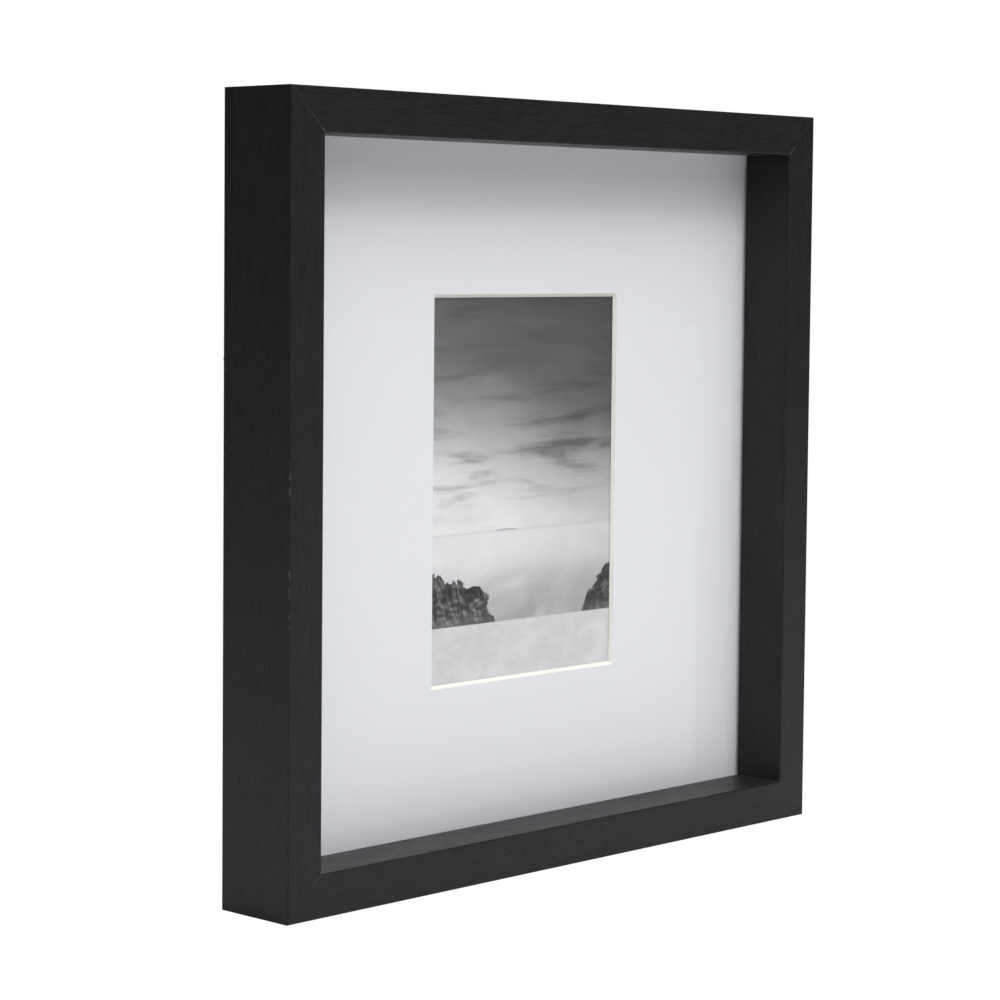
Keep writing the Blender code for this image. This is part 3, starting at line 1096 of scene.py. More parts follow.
@dataclass(frozen=True)
class Seascape:
    """A generic monochrome print: a cloudy sky over a misty shore, with a plain pale border below.

    Heights are shares of the visible picture, from its lower edge.

    Attributes:
        border: Top of the pale border.
        edge: Softness of that top.
        paper: Darkest and lightest of that border.
        horizon: Height of the horizon.
        sky: Brightness of the sky at the top and at the horizon.
        clear: Heights between which the sky turns from dark to bright.
        billow: How far the billows move those heights.
        lean: How much lower the dark reaches on the right than on the left.
        haze: Brightness of the haze between the dark top and the bright part.
        sea: Brightness of the water at the shore and at the horizon.
        rock: Darkest and lightest rock.
        tint: Tint of the greys.
        rough: Lowest roughness of the coated paper.
        rough_range: How much rougher it is in places.
    """

    border: float = 0.145
    edge: float = 0.003
    paper: tuple[float, float] = (0.67, 0.76)
    horizon: float = 0.388
    sky: tuple[float, float] = (0.118, 0.69)
    clear: tuple[float, float] = (0.79, 0.42)
    billow: float = 0.36
    lean: float = 0.10
    haze: float = 0.075
    sea: tuple[float, float] = (0.55, 0.84)
    rock: tuple[float, float] = (0.012, 0.36)
    tint: tuple[float, float, float] = (0.99, 0.98, 0.965)
    rough: float = 0.42
    rough_range: float = 0.1

    def material(self, middle: Vector, width: float, height: float) -> bpy.types.Material:
        """The print.

        Args:
            middle: Middle of the visible picture.
            width: Its width.
            height: Its height.

        Returns:
            The material.
        """
        material, nodes, shader = new_finish("printed_seascape", Specular_IOR_Level=0.35)
        place = nodes.object_place()
        start = (0.5 - middle.x / width, 0.0, 0.5 - middle.z / height)
        picture = nodes.mapped(place, start, scale=(1 / width, 1, 1 / height))
        u, _, v = nodes.axes(picture)
        scene = self.sky_tone(nodes, picture, u, v)
        sea = self.water(nodes, picture, u, v)
        below = nodes.spread(v, self.horizon + 0.005, self.horizon - 0.004)
        scene = self.blend(nodes, below, scene, sea)
        scene = self.islets(nodes, u, v, scene)
        scene = self.rocks(nodes, picture, u, v, scene)
        ripple = nodes.noise(picture, (9, 1, 18), detail=6, roughness=0.6, distortion=0.8)
        border = nodes.spread(ripple, 0.35, 0.68, *self.paper)
        within = nodes.spread(v, self.border + self.edge, self.border)
        scene = self.blend(nodes, within, scene, border)
        screen = nodes.spread(nodes.noise(place, 2600, detail=2), 0.2, 0.8, 0.96, 1.04)
        nodes.feed(shader["Base Color"], nodes.grey(nodes.times(scene, screen), self.tint))
        felt = nodes.effect(Effect.TOOTH, Place=place)
        rough = nodes.spread(felt["Height"], 0.2, 0.8, self.rough, self.rough + self.rough_range)
        nodes.feed(shader["Roughness"], rough)
        nodes.feed(shader["Normal"], nodes.bump(felt["Height"], 0.006 * MM, 0.4))
        return material

    @staticmethod
    def blend(nodes: Nodes, share: Value, first: Value, second: Value) -> bpy.types.NodeSocket:
        """The first brightness, with this share of it replaced by the second."""
        step = nodes.minus(second, first)
        return nodes.fused(step, share, first)

    def sky_tone(self, nodes: Nodes, picture: Value, u: Value, v: Value) -> bpy.types.NodeSocket:
        """A dark sky that clears towards the horizon, with flat drawn-out clouds.

        Args:
            nodes: Helper of the material's tree.
            picture: Place in the picture.
            u: Place across it.
            v: Place up it.

        Returns:
            Its brightness.
        """
        billow = nodes.noise(picture, (1.7, 1, 6), detail=6, roughness=0.55, distortion=0.35)
        lifted = nodes.fused(nodes.minus(billow, 0.5), self.billow, v)
        lifted = nodes.fused(u, self.lean, nodes.minus(lifted, self.lean / 2))
        clear = nodes.spread(lifted, *self.clear)
        base = self.blend(nodes, clear, *self.sky)
        base = nodes.plus(base, nodes.spread(v, 1.02, 0.72, 0.0, self.haze))
        wisps = nodes.noise(picture, (2.1, 1, 21), detail=6, roughness=0.58, distortion=0.35)
        flat = nodes.times(nodes.spread(wisps, 0.46, 0.74), nodes.spread(v, 0.40, 0.52))
        flat = nodes.times(flat, nodes.spread(v, 0.90, 0.60, 0.3, 0.6))
        base = nodes.times(base, nodes.minus(1.0, flat))
        soft = nodes.spread(billow, 0.3, 0.7, 0.84, 1.16)
        dusk = nodes.fused(nodes.fused(clear, 0.20, -0.60), u, 1.18)
        return nodes.times(nodes.times(base, soft), nodes.maths("MINIMUM", dusk, 1.12))

    def water(self, nodes: Nodes, picture: Value, u: Value, v: Value) -> bpy.types.NodeSocket:
        """Blurred water and mist, with a faint darker line at the horizon.

        Args:
            nodes: Helper of the material's tree.
            picture: Place in the picture.
            u: Place across it.
            v: Place up it.

        Returns:
            Its brightness.
        """
        depth = nodes.spread(v, self.border, self.horizon - 0.04, *self.sea)
        drift = nodes.noise(picture, (2.6, 1, 7), detail=6, roughness=0.55, distortion=0.6)
        near = nodes.spread(v, self.horizon, self.border + 0.05, 0.05, 0.26)
        mist = nodes.times(nodes.minus(nodes.spread(drift, 0.3, 0.7), 0.6), near)
        tone = nodes.plus(depth, mist)
        line = nodes.spread(nodes.size_of(nodes.minus(v, self.horizon)), 0.008, 0.0, 1.0, 0.86)
        fall = nodes.fused(nodes.times(u, u), -0.20, 1.0)
        return nodes.times(nodes.times(tone, line), fall)

    def islets(self, nodes: Nodes, u: Value, v: Value, scene: Value) -> bpy.types.NodeSocket:
        """Low far islets on the horizon.

        Args:
            nodes: Helper of the material's tree.
            u: Place across the picture.
            v: Place up it.
            scene: Brightness so far.

        Returns:
            The brightness with the islets.
        """
        off = nodes.size_of(nodes.minus(u, 0.40))
        hump = nodes.noise(nodes.grey(u), (38, 1, 1), detail=2)
        top = nodes.times(nodes.spread(off, 0.07, 0.02, 0.0, 0.010), hump)
        above = nodes.minus(v, self.horizon - 0.001)
        under_top = nodes.maths("LESS_THAN", above, top)
        inside = nodes.times(under_top, nodes.maths("GREATER_THAN", above, 0.0))
        return self.blend(nodes, nodes.times(inside, 0.55), scene, 0.2)

    def rocks(
        self, nodes: Nodes, picture: Value, u: Value, v: Value, scene: Value
    ) -> bpy.types.NodeSocket:
        """Dark rocks in both lower corners, the left heap larger.

        Args:
            nodes: Helper of the material's tree.
            picture: Place in the picture.
            u: Place across it.
            v: Place up it.
            scene: Brightness so far.

        Returns:
            The brightness with the rocks.
        """
        jagged = nodes.noise(picture, (8, 1, 13), detail=9, roughness=0.6, distortion=0.5)
        ragged = nodes.minus(jagged, 0.5)
        spire = nodes.spread(u, 0.02, 0.07, 0.42, 0.265)
        left = nodes.maths("MINIMUM", spire, nodes.spread(u, 0.20, 0.42, 0.275, 0.10))
        right = nodes.spread(u, 0.70, 1.0, 0.08, 0.27)
        crest = nodes.fused(ragged, 0.20, nodes.maths("MAXIMUM", left, right))
        inside = nodes.spread(nodes.minus(crest, v), 0.0, 0.006)
        lit = nodes.noise(picture, (24, 1, 34), detail=10, roughness=0.72)
        above = nodes.mapped(picture, (0.16, 0, 0.30), scale=(24, 1, 34))
        shaded = nodes.noise(above, 1.0, detail=10, roughness=0.72)
        relief = nodes.spread(nodes.minus(lit, shaded), -0.10, 0.26, *self.rock)
        gaps = nodes.noise(picture, (9, 1, 14), detail=3)
        gaps = nodes.spread(gaps, 0.42, 0.56, 0.25, 1.0)
        relief = nodes.times(relief, gaps)
        foam = nodes.spread(nodes.minus(v, self.border), 0.035, 0.0, 0.0, 0.2)
        share = nodes.times(inside, nodes.minus(1.0, foam))
        return self.blend(nodes, share, scene, relief)


@dataclass(frozen=True)
class Hardboard:
    """Pressed brown fibreboard with the mesh of its press screen on the back.

    Attributes:
        dark: Colour of the binder.
        light: Colour of the fibres.
        screen: Pitch of the screen's mesh.
        relief: Depth of the mesh.
    """

    dark: tuple[float, float, float] = (0.120, 0.068, 0.036)
    light: tuple[float, float, float] = (0.285, 0.185, 0.110)
    screen: float = 1.5 * MM
    relief: float = 0.12 * MM

    def material(self) -> bpy.types.Material:
        """The finish of the backing board.

        Returns:
            The material.
        """
        material, nodes, shader = new_finish("brown_hardboard", Specular_IOR_Level=0.25)
        place = nodes.object_place()
        felt = nodes.effect(Effect.TOOTH, Place=place)
        dust = nodes.effect(Effect.DUST, Place=place)
        strands = nodes.noise(place, 420, detail=5, roughness=0.7, distortion=1.6)
        colour = nodes.mix(nodes.spread(strands, 0.3, 0.72), self.dark, self.light)
        colour = nodes.mix(nodes.times(felt["Fibres"], 0.35), colour, (0.42, 0.30, 0.19))
        colour = nodes.mix(nodes.times(dust["Film"], 0.08), colour, (0.35, 0.32, 0.28))
        nodes.feed(shader["Base Color"], colour)
        nodes.feed(shader["Roughness"], nodes.spread(strands, 0.3, 0.7, 0.82, 0.68))
        across, _, up = nodes.axes(nodes.stretch(place, (math.tau / self.screen,) * 3))
        weave = nodes.times(nodes.maths("SINE", across), nodes.maths("SINE", up))
        height = nodes.fused(felt["Height"], 0.8, nodes.times(weave, 0.5))
        nodes.feed(shader["Normal"], nodes.bump(height, self.relief, 0.7))
        return material


@dataclass(frozen=True)
class PlatedSteel:
    """Steel under thin bright plating.

    Attributes:
        name: The material's name.
        colour: Colour of the plating.
        dull: Colour where it is smudged.
        smooth: Lowest roughness.
        spread: Range of the roughness.
    """

    name: str
    colour: tuple[float, float, float]
    dull: tuple[float, float, float]
    smooth: float = 0.22
    spread: float = 0.16

    def material(self) -> bpy.types.Material:
        """The finish of a fitting.

        Returns:
            The material.
        """
        material, nodes, shader = new_finish(self.name, Metallic=1.0)
        plate = nodes.effect(Effect.PLATING, Place=nodes.object_place())
        nodes.feed(shader["Base Color"], nodes.mix(plate["Tone"], self.colour, self.dull))
        marks = nodes.fused(plate["Marks"], self.spread, self.smooth)
        nodes.feed(shader["Roughness"], nodes.fused(plate["Tone"], 0.08, marks))
        nodes.feed(shader["Normal"], nodes.bump(plate["Height"], 0.012 * MM, 0.5))
        return material


@dataclass(frozen=True)
class DarkRubber:
    """Moulded matt rubber.

    Attributes:
        colour: Its colour.
        bloom: Colour of its surface bloom and dust.
    """

    colour: tuple[float, float, float] = (0.016, 0.016, 0.017)
    bloom: tuple[float, float, float] = (0.07, 0.07, 0.07)

    def material(self) -> bpy.types.Material:
        """The finish of a bumper.

        Returns:
            The material.
        """
        material, nodes, shader = new_finish("dark_rubber", Specular_IOR_Level=0.4)
        place = nodes.object_place()
        dust = nodes.effect(Effect.DUST, Place=place)
        bloom = nodes.times(dust["Film"], 0.3)
        nodes.feed(shader["Base Color"], nodes.mix(bloom, self.colour, self.bloom))
        nodes.feed(shader["Roughness"], nodes.spread(dust["Film"], 0.0, 1.0, 0.62, 0.85))
        nodes.feed(shader["Normal"], nodes.bump(nodes.noise(place, 3000, detail=2), 0.01 * MM, 0.5))
        return material


BRIGHT_STEEL = PlatedSteel("bright_nail_steel", (0.42, 0.42, 0.43), (0.26, 0.25, 0.24), 0.3)
ZINC = PlatedSteel("zinc_plated_steel", (0.56, 0.58, 0.62), (0.40, 0.41, 0.42), 0.24)
NICKEL = PlatedSteel("nickel_plated_steel", (0.60, 0.58, 0.54), (0.44, 0.42, 0.39), 0.2)
WHITE_FACE = Paper("white_mat_face", (0.868, 0.864, 0.866), (0.80, 0.80, 0.80), 0.08)
CREAM_CORE = Paper("cream_mat_core", (0.90, 0.875, 0.79), (0.78, 0.73, 0.62), 0.3, 0.04 * MM)
GREYBOARD = Paper("grey_filler_board", (0.33, 0.31, 0.28), (0.16, 0.14, 0.12), 0.5, 0.08 * MM)


# The moulding


@dataclass
class Moulding:
    """Four mitred rails with a rabbet along the back.

    Attributes:
        layout: Sizes of the box.
        finish: The wood's finish.
        arris: Rounding of the long edges.
        arris_steps: Steps across that rounding.
        mitre_gap: Gap left in a closed mitre.
    """

    layout: Layout
    finish: BlackStainedWood = field(default_factory=BlackStainedWood)
    arris: float = 0.6 * MM
    arris_steps: int = 4
    mitre_gap: float = 0.05 * MM

    def bar(self) -> Shape:
        """A straight bar of the moulding along X, as the bottom rail about the square's middle.

        Returns:
            The bar, whose rounded edges are marked.
        """
        box = self.layout
        shape = bmesh.new()
        mark = shape.verts.layers.float.new(EDGE_LAYER)
        outside = -box.side / 2
        section = (
            (box.front, outside),
            (box.back, outside),
            (box.back, outside + box.wall),
            (box.shoulder_y, outside + box.wall),
            (box.shoulder_y, outside + box.face_width),
            (box.front, outside + box.face_width),
        )
        end = shape.faces.new([shape.verts.new((-box.side, y, z)) for y, z in section])
        grown = bmesh.ops.extrude_face_region(shape, geom=[end])
        far = of_kind(grown["geom"], bmesh.types.BMVert)
        bmesh.ops.translate(shape, vec=(2 * box.side, 0, 0), verts=far)
        bmesh.ops.recalc_face_normals(shape, faces=shape.faces)
        long_edges = [e for e in sharp_edges(shape) if e.calc_length() > box.side]
        rounded = set(ease(shape, long_edges, self.arris, self.arris_steps))
        for vert in shape.verts:
            sides = [f for f in vert.link_faces if len(f.edges) == 4]
            vert[mark] = 1.0 if rounded.issuperset(sides) else 0.0
        return shape

    def mitred(self, shape: Shape) -> Shape:
        """Cuts both ends of a bar at 45 degrees.

        Args:
            shape: The bar, about the square's middle.

        Returns:
            The same shape with closed ends.
        """
        for end in (-1, 1):
            normal = Vector((end, 0, 1)).normalized()
            cut = bmesh.ops.bisect_plane(
                shape,
                geom=shape.verts[:] + shape.edges[:] + shape.faces[:],
                plane_co=-normal * self.mitre_gap / 2,
                plane_no=normal,
                clear_outer=True,
            )
            bmesh.ops.edgeloop_fill(shape, edges=of_kind(cut["geom_cut"], bmesh.types.BMEdge))
        return shape

    def build(self, cutters: dict[Side, list[Shape]]) -> None:
        """Makes and dresses the four rails.

        Args:
            cutters: The nail slots and pilot holes in each rail, in place.
        """
        for side in Side:
            rail = moved(self.mitred(self.bar()), self.layout.round_square(side.turn))
            rail = carve(rail, cutters[side])
            fit("rail_" + side.word, rail, Slot.WOOD, self.finish.material(side, self.layout))


@dataclass
class MitreNails:
    """V-nails that pin the mitres, one in the outer wall and one in the shoulder of each corner.

    Attributes:
        layout: Sizes of the box.
        thickness: Thickness of the strip.
        leg: Length of each leg.
        height: Length driven into the wood.
        half_angle: Half the angle of the V.
        inset: Outer sides to the point of the wall's nail.
        sink: Depth of the head below the wood.
        play: Crushed wood on each side of the strip.
        easing: Rounding of its edges.
        finish: The steel's finish.
    """

    layout: Layout
    thickness: float = 0.5 * MM
    leg: float = 4.5 * MM
    height: float = 7.0 * MM
    half_angle: float = math.radians(65)
    inset: float = 6.8 * MM
    sink: float = 0.12 * MM
    play: float = 0.12 * MM
    easing: float = 0.08 * MM
    finish: PlatedSteel = BRIGHT_STEEL

    def vee(self, thickness: float, leg: float, height: float) -> Shape:
        """A V-shaped strip whose point is at the origin, opening towards -Y.

        Args:
            thickness: Thickness of the strip.
            leg: Length of each leg.
            height: Height along Z.

        Returns:
            The closed shape.
        """
        along = Vector((math.sin(self.half_angle), -math.cos(self.half_angle)))
        across = Vector((math.cos(self.half_angle), math.sin(self.half_angle))) * thickness / 2
        point = thickness / 2 / math.sin(self.half_angle)
        outer = along * leg + across
        inner = along * leg - across
        outline = [(0, point), outer, inner, (0, -point), (-inner.x, inner.y), (-outer.x, outer.y)]
        return prism([tuple(corner) for corner in outline], height)

    def places(self) -> list[tuple[str, Corner, float, float]]:
        """Each nail's level, corner and inset, and the depth of the surface it is driven into."""
        box = self.layout
        levels = (("wall", 0.0, box.back), ("shoulder", box.face_width - box.wall, box.shoulder_y))
        return [
            (level, corner, self.inset + step, y) for corner in Corner for level, step, y in levels
        ]

    def slots(self) -> dict[Side, list[Shape]]:
        """The slots in the rails.

        Returns:
            The cutters of each rail, in place.
        """
        cutters = {side: [] for side in Side}
        room = (self.thickness + 2 * self.play, self.leg + self.play, 2 * self.height)
        for _, corner, inset, surface in self.places():
            spot = self.layout.corner_spot(corner, inset, surface)
            for side in corner.sides:
                slot = moved(self.vee(*room), facing_back(spot, corner.turn + QUARTER / 2))
                cutters[side].append(slot)
        return cutters

    def build(self) -> None:
        """Makes and dresses the eight nails."""
        steel = self.finish.material()
        for level, corner, inset, surface in self.places():
            nail = self.vee(self.thickness, self.leg, self.height)
            ease(nail, sharp_edges(nail), self.easing, 2)
            middle = surface - self.sink - self.height / 2
            spot = self.layout.corner_spot(corner, inset, middle)
            moved(nail, facing_back(spot, corner.turn + QUARTER / 2))
            fit(f"v_nail_{level}_{corner.word}", nail, Slot.NAIL, steel)


# What the rabbet holds


@dataclass
class RabbetStack:
    """Glass, mat, print, filler board and backing board, from the shoulder to the back.

    Attributes:
        window_width: Width of the mat's window at its face.
        window_height: Height of that window.
        glass: Finish of the pane.
        white: Face of the mat.
        core: Cut edge of the mat.
        picture: The print.
        greyboard: The filler.
        hardboard: The backing.
        glass_easing: Rounding of the pane's edges.
        print_easing: Rounding of the print's edges.
        filler_easing: Rounding of the filler's edges.
        backing_easing: Rounding of the backing's edges.
    """

    window_width: float = 114.3 * MM
    window_height: float = 165.1 * MM
    glass: ClearGlass = ClearGlass()
    white: Paper = WHITE_FACE
    core: Paper = CREAM_CORE
    picture: Seascape = Seascape()
    greyboard: Paper = GREYBOARD
    hardboard: Hardboard = Hardboard()
    glass_easing: float = 0.25 * MM
    print_easing: float = 0.05 * MM
    filler_easing: float = 0.3 * MM
    backing_easing: float = 0.4 * MM

    def board(self, node: str, easing: float, segments: int = 2) -> Shape:
        """A flat board in the place of a CAD board.

        Args:
            node: The CAD board.
            easing: Rounding of its edges.
            segments: Steps across that rounding.

        Returns:
            The shape.
        """
        low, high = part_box(node)
        shape = slab(high - low, (low + high) / 2)
        ease(shape, shape.edges[:], easing, segments)
        return shape

    def mat(self, middle: Vector) -> Shape:
        """The mat, with a window whose sides slope at 45 degrees towards the viewer.

        Args:
            middle: Middle of the window.

        Returns:
            The shape; its cut faces have the second material.
        """
        low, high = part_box("mat_board")
        shape = bmesh.new()
        corners = ((low.x, low.z), (high.x, low.z), (high.x, high.z), (low.x, high.z))
        shape.faces.new([shape.verts.new((x, low.y, z)) for x, z in corners])
        half = Vector((self.window_width / 2, 0, self.window_height / 2))
        for axis in (Vector((1, 0, 0)), Vector((0, 0, 1))):
            for way in (-1, 1):
                reach = axis * way * half.dot(axis)
                geometry = shape.verts[:] + shape.edges[:] + shape.faces[:]
                bmesh.ops.bisect_plane(shape, geom=geometry, plane_co=middle + reach, plane_no=axis)
        inside = [
            face
            for face in shape.faces
            if abs(face.calc_center_median().x - middle.x) < half.x
            and abs(face.calc_center_median().z - middle.z) < half.z
        ]
        bmesh.ops.delete(shape, geom=inside, context="FACES")
        depth = high.y - low.y
        grown = bmesh.ops.extrude_face_region(shape, geom=shape.faces[:])
        rear = of_kind(grown["geom"], bmesh.types.BMVert)
        bmesh.ops.translate(shape, vec=(0, depth, 0), verts=rear)
        for vert in rear:
            offset = vert.co - middle
            if abs(offset.x) < half.x + WELD and abs(offset.z) < half.z + WELD:
                vert.co.x -= math.copysign(depth, offset.x)
                vert.co.z -= math.copysign(depth, offset.z)
        bmesh.ops.recalc_face_normals(shape, faces=shape.faces)
        for face in shape.faces:
            face.material_index = 1 if self.is_cut(face) else 0
        return shape

    @staticmethod
    def is_cut(face: bmesh.types.BMFace, flat: float = 0.9) -> bool:
        """Whether a face of the mat is a slope of its window or part of its outer edge."""
        return abs(face.normal.y) < flat

    def build(self) -> None:
        """Makes and dresses the five layers."""
        low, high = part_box("print_sheet")
        middle = (low + high) / 2
        pane = self.board("glass_pane", self.glass_easing)
        fit("glass_pane", pane, Slot.GLASS, self.glass.material())
        mat = self.mat(Vector((middle.x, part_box("mat_board")[0].y, middle.z)))
        fit("mat_board", mat, Slot.MAT, self.white.material(), self.core.material())
        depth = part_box("mat_board")[1].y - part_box("mat_board")[0].y
        seen = (self.window_width - 2 * depth, self.window_height - 2 * depth)
        picture = self.picture.material(middle, *seen)
        fit("print_sheet", self.board("print_sheet", self.print_easing, 1), Slot.PRINT, picture)
        filler = self.board("filler_board", self.filler_easing)
        fit("filler_board", filler, Slot.FILLER, self.greyboard.material())
        backing = self.board("backing_board", self.backing_easing)
        fit("backing_board", backing, Slot.BACKING, self.hardboard.material())


# Fasteners and fittings


@dataclass
class PanHeadScrews:
    """Pan-head wood screws with a cross recess.

    Attributes:
        head_radius: Radius of the head.
        head_height: Height of the head.
        shank_radius: Radius of the shank.
        length: Underside of the head to the point.
        recess: Width across the cross.
        slot: Width of one arm of the cross.
        depth: Depth of the cross.
        recess_taper: Length and width of the cross at its foot, as shares of those at its mouth.
        pilot_play: Gap round the shank in its hole.
        crown: Radius of the head's domed top.
        crown_angle: How far the dome reaches from the axis.
        rim: Rounding between the dome and the head's side.
        chamfer: Chamfer under the head.
        tip: Length of the point.
        turns: Number of the thread's grooves.
        root_share: Radius in a groove, as a share of the shank's.
        stop_step: Angle between one screw's cross and the next's.
        finish: The plating.
    """

    head_radius: float = 2.6 * MM
    head_height: float = 1.6 * MM
    shank_radius: float = 1.3 * MM
    length: float = 10.0 * MM
    recess: float = 2.7 * MM
    slot: float = 0.62 * MM
    depth: float = 0.9 * MM
    recess_taper: tuple[float, float] = (0.45, 0.7)
    pilot_play: float = 0.1 * MM
    crown: float = 4.2 * MM
    crown_angle: float = math.radians(31)
    rim: float = 0.45 * MM
    chamfer: float = 0.12 * MM
    tip: float = 3.0 * MM
    turns: int = 9
    root_share: float = 0.78
    stop_step: float = math.radians(37)
    finish: PlatedSteel = ZINC

    def shape(self) -> Shape:
        """One screw, its head's underside at the origin and pointing along -Z.

        Returns:
            The shape.
        """
        rim = self.rim
        crest = (0, self.head_height - self.crown)
        crown = arc(crest, self.crown, QUARTER, QUARTER - self.crown_angle, 5)
        side = arc((self.head_radius - rim, crown[-1][1] - rim), rim, math.radians(60), 0, 4)
        crown = [(r, h) for r, h in crown if r < self.head_radius - rim] + side
        under = [(self.head_radius, self.chamfer), (self.head_radius - self.chamfer, 0)]
        thread = [(self.shank_radius, 0)]
        pitch = (self.length - self.tip) / self.turns
        root = self.shank_radius * self.root_share
        for turn in range(self.turns):
            top = -turn * pitch
            thread += [
                (self.shank_radius, top - 0.25 * pitch),
                (root, top - 0.45 * pitch),
                (root, top - 0.75 * pitch),
                (self.shank_radius, top - pitch),
            ]
        profile = crown + under + thread + [(0, -self.length)]
        profile[0] = (0, profile[0][1])
        screw = turned(profile, 40)
        for turn in (0, QUARTER):
            arm = slab((self.recess, self.slot, 2 * self.depth), (0, 0, self.head_height))
            foot = [v for v in arm.verts if v.co.z < self.head_height]
            bmesh.ops.scale(arm, vec=(*self.recess_taper, 1), verts=foot)
            screw = carve(screw, [moved(arm, Matrix.Rotation(turn, 4, "Z"))])
        return screw

    def spot(self, node: str) -> Vector:
        """The middle of the underside of a CAD screw's head."""
        low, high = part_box(node)
        return Vector(((low.x + high.x) / 2, high.y - self.head_height, (low.z + high.z) / 2))

    def nodes(self) -> list[str]:
        """The CAD screws, in order of name."""
        return sorted(name for name in frame["nodes"] if "_screw" in name)

    def pilot_holes(self) -> dict[Side, list[Shape]]:
        """The holes that the screws need.

        Returns:
            The cutters of each rail, in place.
        """
        cutters = {side: [] for side in Side}
        for node in self.nodes():
            side = next(side for side in Side if side.word in node)
            hole = rod(self.shank_radius + self.pilot_play, 2 * self.length + MM)
            cutters[side].append(moved(hole, facing_back(self.spot(node))))
        return cutters

    def build(self) -> None:
        """Makes and dresses every screw, each stopped at its own angle."""
        zinc = self.finish.material()
        for number, node in enumerate(self.nodes()):
            stop = Matrix.Rotation(self.stop_step * number, 4, "Z")
            screw = moved(self.shape(), facing_back(self.spot(node)) @ stop)
            fit(node, screw, Slot.ZINC, zinc)


@dataclass
class TurnButtons:
    """Stamped steel fingers that turn over the backing board.

    Attributes:
        thickness: Thickness of the steel.
        reach: Pivot to the middle of the tip's arc.
        heel_radius: Radius of the end round the screw.
        tip_radius: Radius of the other end.
        hole_radius: Radius of the screw's hole.
        border: Width of the flat border round the pressed middle.
        pressed: Height of the pressed middle.
        rounding: Rounding of the stamped rims.
        finish: The plating.
    """

    thickness: float = 1.0 * MM
    reach: float = 17.0 * MM
    heel_radius: float = 3.8 * MM
    tip_radius: float = 2.6 * MM
    hole_radius: float = 1.6 * MM
    border: float = 0.9 * MM
    pressed: float = 0.14 * MM
    rounding: float = 0.18 * MM
    finish: PlatedSteel = NICKEL

    def shape(self) -> Shape:
        """One button about its pivot, its finger along +Y.

        Returns:
            The shape.
        """
        taper = math.asin((self.heel_radius - self.tip_radius) / self.reach)
        heel = arc((0, 0), self.heel_radius, math.pi - taper, 2 * math.pi + taper, 32)
        tip = arc((0, self.reach), self.tip_radius, taper, math.pi - taper, 20)
        plate = prism(heel + tip, self.thickness)
        top = max(plate.faces, key=lambda face: face.calc_center_median().z)
        bmesh.ops.inset_region(plate, faces=[top], thickness=self.border)
        bmesh.ops.inset_region(plate, faces=[top], thickness=self.pressed * 1.5)
        bmesh.ops.translate(plate, vec=(0, 0, self.pressed), verts=top.verts)
        rims = [e for e in sharp_edges(plate) if abs(e.verts[0].co.z - e.verts[1].co.z) < WELD]
        ease(plate, rims, self.rounding)
        return carve(plate, [rod(self.hole_radius, 4 * self.thickness, 32)])

    def build(self) -> None:
        """Makes and dresses the eight buttons, each on its own body."""
        nickel = self.finish.material()
        pivots = {joint["child"]: Vector(joint["pos_m"]) for joint in frame["joints"]}
        for side in Side:
            for number in (1, 2):
                node = f"turn_button_{side.word}_{number}"
                pose = facing_back(pivots[node], side.turn + math.pi)
                fit(node, moved(self.shape(), pose), Slot.NICKEL, nickel)


